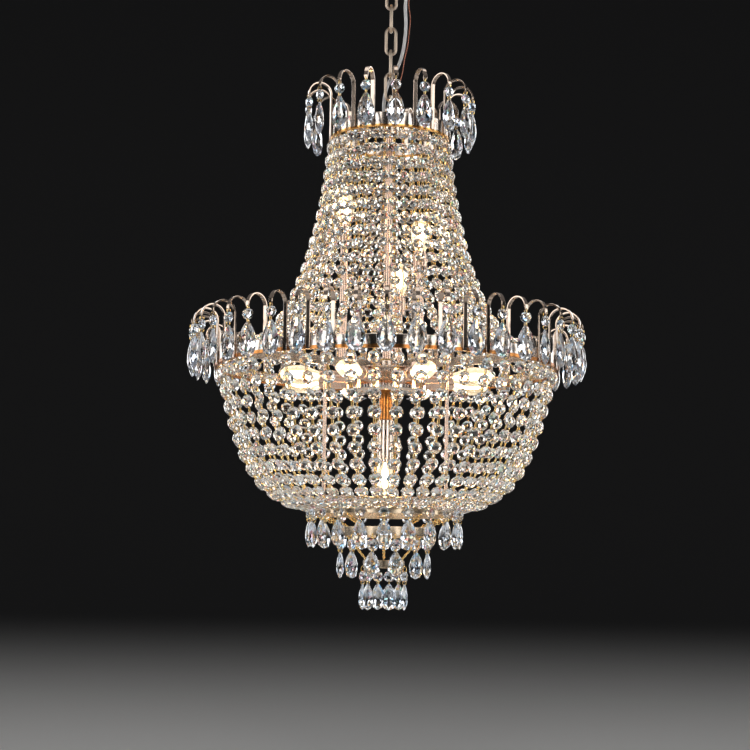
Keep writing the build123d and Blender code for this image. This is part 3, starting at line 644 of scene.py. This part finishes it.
class CHANDELIER_OT_rose(bpy.types.Operator):
    """Turn the ceiling rose, its screws, nipple, loop and cord grip"""
    bl_idname = "chandelier.rose"
    bl_label = "Ceiling rose"

    def execute(self, context):
        wall, edge = 1, 5
        middle = (ROSE_RADIUS - edge, edge - ROSE_DEPTH)
        outer = [(ROSE_RADIUS, 0), (ROSE_RADIUS, -0.6), *fillet(middle, edge, 0, -90, 10), (5.3, -ROSE_DEPTH)]
        inner = [(5.3, wall - ROSE_DEPTH), *fillet(middle, edge - wall, -90, 0, 10)]
        inner += [(ROSE_RADIUS - wall, -0.6), (ROSE_RADIUS - wall, 0)]
        canopy = revolved(outer + inner, context.scene.chandelier_sizes.round_sides)
        piece("canopy", canopy, ("Brushed champagne plating", "champagne_metal"), "rose_cup", body="rose")
        shank = revolved([(0, -0.2), (1.7, -0.2), (1.9, -0.5), (1.9, -ROSE_DEPTH), (0, -ROSE_DEPTH)], 16)
        places = [(-SCREW_PLACE, 0, 0), (SCREW_PLACE, 0, 0)]
        screws = placed(joined(shank, knurled_head()), [np.eye(3)] * 2, places)
        piece("canopy_screws", screws, LIGHT_GOLD, "rose_screws", body="rose")
        pipe = revolved([(5, -0.6), (5, -31.9), (3.6, -31.9), (3.6, -0.6)], 32)
        piece("nipple", pipe, LIGHT_GOLD, "rose_nipple", body="rose")
        collar = revolved([
            (0, -32), (5.05, -32), (5.05, -28.1), (8.4, -28.1), (9, -28.6), (9, -31.6), (8.2, -32.4),
            (6.2, -33), (5, -33.6), (3.4, -34.4), (0, -34.6),
        ], 48)
        a = spaced(40)
        eye = np.stack([0 * a, 8 * np.cos(a), -42.05 + 8 * np.sin(a)], -1)
        ring = swept(eye, circle(WIRE_RADIUS, 14), (1, 0, 0), closed=True)
        piece("loop", joined(collar, ring), SATIN, "rose_loop", body="rose")
        grip = revolved([
            (0, -28), (5.6, -28), (6, -28.4), (6, -30.4), (5, -30.9), (5, -31.7), (5.6, -32.2),
            (5.4, -33.4), (4.9, -33.8), (4.9, -34.6), (5.2, -35), (4.9, -38.6), (4.3, -39.8), (0, -40),
        ], 32)
        piece("cord_grip_body", moved(grip, (22, 0, 0)), ("Grip plastic", "grip_plastic"), "cord_grip", body="rose")
        return {"FINISHED"}


class CHANDELIER_OT_chain(bpy.types.Operator):
    """Bend the five chain links and the bail"""
    bl_idname = "chandelier.chain"
    bl_label = "Chain and bail"

    def execute(self, context):
        link = wire_loop(LINK_LENGTH - LINK_WIRE, LINK_WIDTH - LINK_WIRE, WIRE_RADIUS, steps=15, sides=14)
        quarter = (link[0][:, [1, 0, 2]] * (-1, 1, 1), link[1])
        for number in range(LINK_COUNT):
            shape = moved(quarter if number % 2 else link, (0, 0, -62.24 - 28.79 * number))
            node = f"chain_link_{number + 1}"
            piece(f"link_{number + 1}", outward(shape), SATIN, node, body=node)
        bow = [(0, 8 * cos(t), -197.6 + 8 * sin(t)) for t in np.linspace(pi, 0, 17)]
        leg = (-210, -226, SPIDER_TOP)
        path = [*((0, -8, level) for level in leg[::-1]), *bow, *((0, 8, level) for level in leg)]
        piece("bail_bow", swept(path, circle(WIRE_RADIUS, 14), (1, 0, 0)), SATIN, "bail")
        return {"FINISHED"}


# ---- bands, rings and hooks


def flat_band(radius, thickness, top, height, sides):
    """A flat strip bent to a ring on edge, its edges eased: a closed profile run round the axis."""
    e, inner, foot = 0.3, radius - thickness, top - height
    return revolved([
        (radius, top - e), (radius, foot + e), (radius - e, foot), (inner + e, foot),
        (inner, foot + e), (inner, top - e), (inner + e, top), (radius - e, top),
    ], sides)


class CHANDELIER_OT_bands(bpy.types.Operator):
    """Roll the five bands, the wire rings that the strands hook into, and the upper bands' lips"""
    bl_idname = "chandelier.bands"
    bl_label = "Bands and rings"

    def execute(self, context):
        for name, radius, thickness, top, height, sides, look, node in (
            ("top_band", TOP_RADIUS, BAND_THICKNESS, SPIDER_TOP, BAND_HEIGHT, 144, CHAMPAGNE, "top_ring"),
            ("middle_band", MID_RADIUS, BAND_THICKNESS, MID_BAND, BAND_HEIGHT, 264, CHAMPAGNE, "mid_ring"),
            ("bottom_band", 86.4, TIER_THICKNESS, -697, 9.5, 160, PALE_GOLD, "bottom_ring"),
            ("second_tier_band", 51, TIER_THICKNESS, -720.6, 10.9, 120, PALE_GOLD, "tier2_ring"),
            ("third_tier_band", 25, TIER_THICKNESS, -760, 9, 96, PALE_GOLD, "tier3_ring"),
        ):
            piece(name, flat_band(radius, thickness, top, height, sides), look, node)
        for name, radius, level, look, node in (
            ("top_strand_ring", TOP_RING_RADIUS, -246.1, ("Red gold plating", "light_gold"), "top_wire_ring"),
            ("middle_strand_ring", MID_RING_RADIUS, -530.4, COPPER, "mid_wire_ring"),
        ):
            path = polar(radius, spaced(192), level)
            piece(name, swept(path, circle(1.28, 12), Z_AXIS, closed=True), look, node)
        for name, radius, level, high, look in (
            ("top_lip", TOP_RADIUS, -243.9, 1.6, ("Red gold plating", "copper_metal")),
            ("middle_lip", MID_RADIUS, -527.8, 3.9, COPPER),
        ):
            rim, foot = radius + 0.3, level - high
            lip = [(rim, level), (rim, foot), (rim - 2, foot), (rim - 2, foot + 0.6), (radius - 0.6, level)]
            piece(name, revolved(lip, 264), look)
        return {"FINISHED"}


def hook_shape(seat, foot, sizes):
    """The J strip: straight up its band, round a half circle outwards and down to a round tip."""
    thick, width = sizes.hook_thickness / MM, sizes.hook_width / MM
    bow = HOOK_REACH / 2
    leg = seat + thick / 2
    top = foot + HOOK_RISE + BAND_HEIGHT - bow - thick / 2
    path = [(leg, 0, foot), (leg, 0, foot + 1.2), (leg, 0, foot + 20), (leg, 0, top - 14)]
    path += [(leg + bow + bow * cos(t), 0, top + bow * sin(t)) for t in np.radians(np.linspace(180, -15, 22))]
    sizes_along = np.ones((len(path), 2))
    sizes_along[0, 1] = 0.86
    sizes_along[-2:, 1] = (0.9, 0.55)
    return swept(path, strip(thick, width, 0.35), (0, 1, 0), sizes=sizes_along)


class CHANDELIER_OT_hooks(bpy.types.Operator):
    """Bend the J hooks of the two crowns"""
    bl_idname = "chandelier.hooks"
    bl_label = "Crown hooks"

    def execute(self, context):
        sizes = context.scene.chandelier_sizes
        for name, radius, foot, turns, node in (
            ("top_crown_hooks", TOP_RADIUS, -244.7, spaced(TOP_COUNT, TOP_TURN), "top_hooks"),
            ("middle_crown_hooks", MID_RADIUS, -531.7, spaced(MID_COUNT), "mid_hooks"),
        ):
            hooks = around(hook_shape(radius + 0.1, foot, sizes), turns)
            piece(name, hooks, ("Hook plating", "champagne_metal"), node)
        return {"FINISHED"}


# ---- stem and lamps


def hex_nut(low, high):
    """A hexagon nut: its corners are cut by a shallow cone at both faces."""
    c = NUT_RADIUS / cos(pi / 6)
    outline = [(0.88 * c, low), (c, low + 0.5), (c, high - 0.5), (0.88 * c, high)]
    return skin([polar(radius, np.arange(6) * pi / 3, level) for radius, level in outline])


def hub(low, high):
    """A turned disc with eased rims and a bore for the column."""
    bore, radius, ease = 5.1, 14, 0.6
    return revolved([
        (bore, low), (radius - ease, low), (radius, low + ease),
        (radius, high - ease), (radius - ease, high), (bore, high),
    ], 48)


class CHANDELIER_OT_stem(bpy.types.Operator):
    """Set up the spider, spokes, column, hub, support rods and bottom plate"""
    bl_idname = "chandelier.stem"
    bl_label = "Stem and hub"

    def execute(self, context):
        turns = np.radians(ARM_TURNS)
        spider = around(arm(10, 71.5, -236.9, 5, 4), np.radians((63.8, 183.8, -56.2)))
        piece("top_spider_arms", joined(hub(SPIDER_FOOT, SPIDER_TOP), spider), CHAMPAGNE, "top_spider")
        spokes = around(arm(10, 205.8, -524.1, 10, 4), turns)
        piece("middle_spokes", joined(hub(SPOKE_FOOT, SPOKE_TOP), spokes), CHAMPAGNE, "spokes")
        pipe = [(COLUMN_RADIUS, -226.4), (COLUMN_RADIUS, -564.1), (3.8, -564.1), (3.8, -226.4)]
        piece("stem_tube", revolved(pipe, 40), STEM, "column")
        nuts = joined(hex_nut(-242.4, SPIDER_FOOT), hex_nut(SPOKE_TOP, -516.1))
        piece("stem_nuts_hex", nuts, LIGHT_GOLD, "column_nuts", smooth=False)
        cover = [
            (5.2, SPOKE_FOOT), (60, SPOKE_FOOT), (61.5, -531.5), (62, -532.1), (61.6, -532.9), (60, -533.1),
            (5.2, -533.1),
        ]
        piece("hub_lid", revolved(cover, 120), DRUM, "hub_cover")
        drum = [
            (50, DRUM_TOP), (50, -555.6), *fillet((46.5, -555.6), 3.5, 0, -90, 6), (5.2, DRUM_FOOT),
            (5.2, -557.6), (46, -557.6), (48.5, -555), (48.5, DRUM_TOP),
        ]
        piece("hub_bowl", revolved(drum, 120), DRUM, "hub_drum")
        rod = revolved([(0, -529.2), (2.1, -529.2), (2.1, -706.3), (0, -706.4)], 16)
        piece("rods", around(rod, turns, 83.5), STEM, "support_rods")
        disc = revolved([
            (0, PLATE_TOP), (15.2, PLATE_TOP), (16, -684.7), (16, -686.5), (15.2, PLATE_FOOT), (0, PLATE_FOOT),
        ], 48)
        plate = joined(disc, around(arm(12, 81.7, -685.6, 2.9, 8), turns))
        piece("bottom_bar", plate, ROSE_GOLD, "bottom_plate")
        nut = hex_nut(-690.1, PLATE_FOOT)
        piece("bottom_nut_hex", nut, ("Light gold plating", "copper_metal"), "bottom_nut", smooth=False)
        return {"FINISHED"}


def socket_shape(r, length, base):
    """A lampholder sleeve: a turned cap and skirt with two grooves, and the lamp's metal base at its mouth."""
    b, tip = 7, length + base
    return revolved([
        (0, 0.1), (r - 1.2, 0.1), (r, 1.2), (r, 4.6), (r - 0.7, 5), (r - 0.7, 5.8), (r, 6.2), (r, length - 3.4),
        (r - 0.5, length - 3), (r - 0.5, length - 2.2), (r, length - 1.8), (r, length - 0.4), (r - 0.8, length),
        (b, length), (b, length + base * 0.7), (b - 0.9, tip), (0, tip),
    ], 40)


def bulb_shape(length):
    """A clear bulb, neck n and belly r: radius n + (r - n) sin^1.2 up to the belly, then r cos^0.85 to the tip."""
    r, n = 11.6, 6.2
    lower = [(n + (r - n) * sin(t * pi / 2) ** 1.2, 0.5 * length * t) for t in np.linspace(0, 1, 9)[:-1]]
    upper = [(r * cos(t) ** 0.85, length * (0.5 + 0.5 * sin(t))) for t in np.linspace(0, pi / 2, 12)[:-1]]
    return revolved([(0, 0), (n - 0.6, 0), *lower, *upper, (0, length)], 28)


def filament_shape(length):
    """The lit core of a bulb: a flame-shaped body on a thin stem, radius 0.8 + 2.6 sin(t)^0.8 (1 - 0.25 t / pi)."""
    t = np.linspace(0, pi, 14)[1:-1]
    low, high = 0.2 * length, 0.78 * length
    core = [(0.8 + 2.6 * sin(a) ** 0.8 * (1 - 0.25 * a / pi), low + (high - low) * (1 - cos(a)) / 2) for a in t]
    return revolved([(0, 0.5), (0.8, 0.5), (0.8, low), *core, (0, high)], 18)


def lying(shape):
    """Turns a piece that stands along +Z so that it points along local +X."""
    return outward((shape[0][:, [2, 1, 0]] * (1, 1, -1), shape[1]))


def below(shape, level):
    """Turns a piece that stands along +Z so that it hangs down from a level."""
    return outward(moved(shape, (0, 0, level), (1, -1, -1)))


class CHANDELIER_OT_lamps(bpy.types.Operator):
    """Fit the lampholders with their bulbs: eight round the hub, three above it and one below"""
    bl_idname = "chandelier.lamps"
    bl_label = "Lamps"

    def execute(self, context):
        turns = np.radians(22.5 + 45 * np.arange(8))
        for name, shape, place, look, nodes in (
            ("hub_sockets", socket_shape(SOCKET_RADIUS, 27, 11), 50.1, ROSE_GOLD, ["mid_lampholders"]),
            ("hub_bulbs", bulb_shape(47), 88.2, GLASS, ["mid_bulbs"]),
            ("hub_filaments", filament_shape(47), 88.2, FILAMENT, []),
        ):
            lamps = around(lying(shape), turns, place, HUB_LAMP_LEVEL)
            piece(name, lamps, look, *nodes, smooth=look is not FILAMENT)
        for name, shaped, look, nodes in (
            ("upper_sockets", lambda depth: moved(socket_shape(SOCKET_RADIUS, 22, 4), (0, 0, 0.1 - depth)),
             ROSE_GOLD, ["upper_lampholders"]),
            ("upper_lamp_bulbs", lambda depth: moved(bulb_shape(40), (0, 0, 26.2 - depth)), GLASS, ["upper_bulbs"]),
            ("upper_filaments", lambda depth: moved(filament_shape(40), (0, 0, 26.2 - depth)), FILAMENT, []),
            ("upper_stems", lambda depth: revolved([(0, -531), (4.5, -531), (4.5, -depth - 0.5), (0, -depth)], 28),
             ROSE_GOLD, ["lamp_stems"]),
            ("upper_stem_nuts", lambda depth: hex_nut(SPOKE_FOOT, -524.1), ROSE_GOLD, ["stem_nuts"]),
        ):
            lamps = [around(shaped(depth), np.radians([turn]), UPPER_LAMP_PLACE) for turn, depth in UPPER_LAMPS]
            piece(name, joined(*lamps), look, *nodes, smooth=name not in ("upper_filaments", "upper_stem_nuts"))
        rod = [(8, DRUM_FOOT), (8, -590.1), (5.1, -590.1), (5.1, DRUM_FOOT)]
        piece("lower_tube", revolved(rod, 40), COPPER, "lower_rod")
        holder = below(socket_shape(9.5, 48, 4), -590.2)
        piece("lower_socket", holder, ("Polished drum", "copper_metal"), "lower_lampholder")
        piece("lower_lamp_bulb", below(bulb_shape(38), -642.3), GLASS, "lower_bulb")
        piece("lower_filament", below(filament_shape(38), -642.3), FILAMENT, smooth=False)
        return {"FINISHED"}


# ---- crystals


def strands(line, count, rows, width, sizes, seed):
    """Bead strands about the axis: beads at an even pitch on a line, and a wire pin from each bead's hole to the next.

    Where the strands crowd, the beads stand like louvres, each turned about its strand by
    0.58 acos(spacing / (width + 0.4)), so that its thin rim passes behind its neighbour's.
    """
    dice = np.random.default_rng(seed)
    length = line[1][-1]
    middles = length / rows * (np.arange(rows) + 0.5)
    turns = (np.arange(count) + 0.5) * 2 * pi / count + FRONT
    out, side, _ = facing(turns).swapaxes(0, 1)[:, :, None]

    def world(pair):
        return pair[..., :1] * out + pair[..., 1:] * np.array([0, 0, 1])

    def normal_to(way):
        return world(np.stack([-way[..., 1], way[..., 0]], -1))
    slack = dice.uniform(-1.2, 1.2, (count, 1))
    spot, way = at(line, middles + slack)
    fit = 0.58 * np.arccos(np.clip(2 * pi * spot[..., 0] / count / (width + 0.4), 0, 1))
    turn = fit + dice.normal(0, sizes.bead_twist, (count, rows)) * (1 - 1.8 * fit)
    lean = dice.normal(0, 0.05, (count, rows))[..., None]
    up = side * np.sin(lean) - world(way) * np.cos(lean)
    face = normal_to(way) * np.cos(turn)[..., None] + side * np.sin(turn)[..., None]
    face -= up * np.sum(face * up, -1, keepdims=True)
    face /= np.linalg.norm(face, axis=-1, keepdims=True)
    axes = np.stack([face, np.cross(up, face), up], 2).reshape(-1, 3, 3)
    beads = placed(octagon_bead(width, sizes.bead_thickness / MM), axes, world(spot).reshape(-1, 3))
    low = np.concatenate([[0], middles + width / 2 - 2])
    high = np.concatenate([middles - width / 2 + 2, [length]])
    eye, run = at(line, (low + high) / 2 + slack)
    centre, down, normal = world(eye), world(run), normal_to(run)
    across = np.broadcast_to(side, centre.shape)
    pins = []
    for k, reach in enumerate(high - low):
        loop = wire_loop(reach, 1.9, sizes.pin_wire / MM, steps=5, sides=5)
        pins.append(placed(loop, np.stack([across[:, k], normal[:, k], -down[:, k]], 1), centre[:, k]))
    return beads, joined(*pins)


class CHANDELIER_OT_strands(bpy.types.Operator):
    """String the octagon beads of the upper skirt and of the basket"""
    bl_idname = "chandelier.strands"
    bl_label = "Bead strands"

    def execute(self, context):
        sizes = context.scene.chandelier_sizes
        for name, line, count, rows, width, seed in (
            ("skirt", SKIRT_LINE, 42, 19, sizes.skirt_bead, 11),
            ("basket", BASKET_LINE, 48, 11, sizes.basket_bead, 23),
        ):
            beads, pins = strands(line_through(line), count, rows, width / MM, sizes, seed)
            piece(name + "_beads", beads, ("Strand crystal", "crystal"), name + "_strands", smooth=False)
            piece(name + "_pins", pins, LIGHT_GOLD)
        return {"FINISHED"}


def hanging_set(sizes, width, length, lean=0, neck=0):
    """A bead and a teardrop, and their two wire rings, below an eye at the origin, hung a little out of it."""
    bead = octagon_bead(0.98 * sizes.skirt_bead / MM, sizes.bead_thickness / MM)
    drop = teardrop(width / MM, length / MM, sizes.drop_thickness / MM * length / sizes.drop_length)
    ring = wire_loop(5.2, 4.6, 0.9 * sizes.pin_wire / MM, steps=8, sides=5)
    upper = moved(ring, (lean * 0.7, 0, 0.1 - neck / 2), (1, 1, 1 + neck / 6))
    lower = moved(ring, (0, 0, -14.4 - neck), (1, 1, 0.9))
    return joined(moved(bead, (0, 0, -7.4 - neck)), moved(drop, (0, 0, -15.1 - neck))), joined(upper, lower)


def hang(stone_name, ring_name, shapes, turns, radius, level, seed, node, body="frame"):
    """The hanging sets at their places, each turned a few degrees about its own wire."""
    angles = np.asarray(turns) + FRONT
    turned = angles + np.random.default_rng(seed).normal(0, 0.16, len(angles))
    stones, rings = [placed(shape, facing(turned), polar(radius, angles, level)) for shape in shapes]
    piece(stone_name, stones, ("Drop crystal", "crystal"), node, body=body, smooth=False)
    piece(ring_name, rings, LIGHT_GOLD, body=body)


class CHANDELIER_OT_drops(bpy.types.Operator):
    """Hang a bead and a teardrop from every hook of the crowns and round the lower bands"""
    bl_idname = "chandelier.drops"
    bl_label = "Hanging crystals"

    def execute(self, context):
        sizes = context.scene.chandelier_sizes
        large = hanging_set(sizes, sizes.drop_width, sizes.drop_length)
        small, leaning, swinging = [
            hanging_set(sizes, sizes.small_width, sizes.small_length, lean, neck)
            for lean, neck in ((0, 0), (-3.2, 2.6), (0, 2.6))
        ]
        for seed, (name, radius, level, turns, shapes, node) in enumerate([
            ("top_crown", 101.3, -197.4, spaced(TOP_COUNT, TOP_TURN), large, "top_pendants"),
            ("middle_crown", 235.6, -484.4, spaced(MID_COUNT), large, "mid_pendants"),
            ("bottom_band", 90.8, -698.2, spaced(20), small, "bottom_pendants"),
            ("second_tier", 54.2, -731.8, spaced(12, radians(15)), leaning, "tier2_pendants"),
        ], start=31):
            hang(f"{name}_crystals", f"{name}_rings", shapes, turns, radius, level, seed, node)
        for k in range(1, 7):
            names, turns = (f"third_tier_crystal_{k}", f"third_tier_rings_{k}"), [radians(60 * k - 45)]
            hang(*names, swinging, turns, 26, -769.3, 40 + k, f"drop_{k}", f"drop_{k}")
        return {"FINISHED"}


class CHANDELIER_OT_fine_chains(bpy.types.Operator):
    """Hang the two lower bands on fine oval-link chains"""
    bl_idname = "chandelier.fine_chains"
    bl_label = "Fine chains"

    def execute(self, context):
        for name, count, upper, lower, node in (
            ("second_tier_chains", 12, (85.8, -707.2), (50.4, -719.9), "tier2_chains"),
            ("third_tier_chains", 6, (50.4, -732.3), (24.4, -759.3), "tier3_chains"),
        ):
            start = np.array(upper)
            run = np.array(lower) - start
            length = np.linalg.norm(run)
            x, z = run / length
            number = round(length / 3)
            loop = wire_loop(length / number + 1, 2.2, 0.42, steps=5, sides=5)
            flat, edge = np.array([-z, 0, x]), np.array([0, 1, 0])
            links = []
            for k in range(number):
                spot = start + run * (k + 0.5) / number
                across, thick = (flat, edge) if k % 2 else (edge, -flat)
                links.append(placed(loop, [np.stack([across, thick, (x, 0, z)])], [(spot[0], 0, spot[1])]))
            piece(name + "_links", around(joined(*links), spaced(count)), LIGHT_GOLD, node)
        return {"FINISHED"}


# ---- stage


def stood(name, data, spot, right, up, back):
    """A light or camera at a place, with its own axes."""
    holder = bpy.data.objects.new(name, data)
    holder.matrix_world = Matrix.Translation(spot) @ Matrix([*zip(right, up, back)]).to_4x4()
    bpy.context.scene.collection.objects.link(holder)
    return holder


def studio_panel(name, spot, aim, width, height, brightness):
    """A soft panel that faces a point: its power is pi times its area times how bright its face is."""
    light = bpy.data.lights.new(name, "AREA")
    light.shape, light.size, light.size_y = "RECTANGLE", width, height
    light.energy = pi * width * height * brightness
    back = np.array(spot, float) - np.array(aim, float)
    back /= np.linalg.norm(back)
    right = np.cross(Z_AXIS, back)
    right = right / np.linalg.norm(right) if np.linalg.norm(right) > 1e-6 else np.array([1.0, 0, 0])
    stood(name, light, spot, right, np.cross(back, right), back).visible_camera = False


def cove_painted_shade_material(tones):
    """Pale floor that turns, as the wall rises, to a near-black wall: painted shade that stands for an unlit room."""
    material, tree, shader = new_material("Studio cove")
    split = add(tree, "SeparateXYZ", {"Vector": add(tree, "TexCoord", {}).outputs["Object"]})
    heights = {"Value": split.outputs["Z"], "From Min": -1.55, "From Max": -0.9}
    # Mask of the painted shade: the wall darkens as it rises
    painted_shade_rise = add(tree, "MapRange", heights, interpolation_type="SMOOTHSTEP")
    mixed = {"Factor": painted_shade_rise.outputs["Result"], "A": (*tones.floor, 1), "B": (*tones.backdrop, 1)}
    tone = add(tree, "Mix", mixed, data_type="RGBA")
    shader.inputs["Roughness"].default_value = 0.9
    tree.links.new(tone.outputs["Result"], shader.inputs["Base Color"])
    return material


class CHANDELIER_OT_stage(bpy.types.Operator):
    """Set the floor, the studio light and the camera"""
    bl_idname = "chandelier.stage"
    bl_label = "Stage"

    def execute(self, context):
        scene = context.scene
        rows = [(FLOOR_RADIUS * t, FLOOR_LEVEL) for t in np.linspace(0, 1, 24)[1:]]
        rows += [
            (FLOOR_RADIUS + COVE_BEND * sin(t), FLOOR_LEVEL + COVE_BEND - COVE_BEND * cos(t))
            for t in np.linspace(0, pi / 2, 10)[1:]
        ]
        rows = np.array(rows + [(FLOOR_RADIUS + COVE_BEND, WALL_TOP)])
        points = polar(rows[:, :1], spaced(COVE_SIDES), rows[:, 1:]).reshape(-1, 3)
        points = np.vstack([points, (0, 0, FLOOR_LEVEL)])
        k = np.arange(COVE_SIDES)
        fan = np.stack([np.full(COVE_SIDES, len(points) - 1), k, (k + 1) % COVE_SIDES], -1)
        shape = (points, [grid_faces(len(rows), COVE_SIDES)[:, ::-1], fan])
        cove = mesh_object("cove", shape, cove_painted_shade_material(scene.chandelier_finishes), smooth=True)
        for number in range(6):
            turn = radians(30 + 60 * number) + FRONT
            spot = (3.3 * cos(turn), 3.3 * sin(turn), 0.25)
            studio_panel(f"panel_{number + 1}", spot, (0, 0, -0.45), 1.6, 1.7, 2.9)
        studio_panel("overhead_panel", (0, 0, 2.4), (0, 0, -1), 2.4, 2.4, 1.6)
        world = bpy.data.worlds.new("Studio air")
        world.use_nodes = True
        air = world.node_tree.nodes["Background"].inputs
        air["Color"].default_value = (0.5, 0.5, 0.52, 1)
        air["Strength"].default_value = 0.4
        scene.world = world
        scene.view_settings.view_transform = "Standard"
        for setting, value in (
            ("max_bounces", 24), ("transmission_bounces", 20), ("glossy_bounces", 8), ("diffuse_bounces", 4),
            ("transparent_max_bounces", 16), ("use_denoising", True),
        ):
            setattr(scene.cycles, setting, value)
        camera = bpy.data.cameras.new("camera")
        camera.sensor_width, camera.lens, camera.shift_y = 36.0, 79.85, 0.08
        pitch, yaw, roll = radians(5.253), radians(-0.503), radians(0.834)
        forward = np.array([sin(yaw) * cos(pitch), cos(yaw) * cos(pitch), sin(pitch)])
        right = np.array([cos(yaw), -sin(yaw), 0.0])
        up = np.cross(right, forward)
        right, up = right * cos(roll) + up * sin(roll), up * cos(roll) - right * sin(roll)
        scene.camera = stood("camera", camera, (0.0049, -2.0045, -0.793), right, up, -forward)
        return {"FINISHED"}


class CHANDELIER_PT_panel(bpy.types.Panel):
    """Steps of the chandelier, in the order in which they are made"""
    bl_idname = "CHANDELIER_PT_panel"
    bl_label = "Crystal chandelier"
    bl_space_type = "VIEW_3D"
    bl_region_type = "UI"
    bl_category = "Chandelier"

    def draw(self, context):
        for settings in (context.scene.chandelier_sizes, context.scene.chandelier_finishes):
            for label in settings.__annotations__:
                self.layout.prop(settings, label)
        for step in STEPS:
            self.layout.operator(step.bl_idname)


STEPS = (
    CHANDELIER_OT_finishes, CHANDELIER_OT_cords, CHANDELIER_OT_rose, CHANDELIER_OT_chain, CHANDELIER_OT_bands,
    CHANDELIER_OT_hooks, CHANDELIER_OT_stem, CHANDELIER_OT_lamps, CHANDELIER_OT_strands, CHANDELIER_OT_drops,
    CHANDELIER_OT_fine_chains, CHANDELIER_OT_stage,
)
CLASSES = (ChandelierSizes, ChandelierFinishes, *STEPS, CHANDELIER_PT_panel)


def register():
    for cls in CLASSES:
        bpy.utils.register_class(cls)
    bpy.types.Scene.chandelier_sizes = PointerProperty(type=ChandelierSizes)
    bpy.types.Scene.chandelier_finishes = PointerProperty(type=ChandelierFinishes)


def unregister():
    del bpy.types.Scene.chandelier_finishes
    del bpy.types.Scene.chandelier_sizes
    for cls in reversed(CLASSES):
        bpy.utils.unregister_class(cls)


def main():
    register()
    for step in STEPS:
        getattr(bpy.ops.chandelier, step.bl_idname.split(".")[1])()


if __name__ == "__main__":
    main()
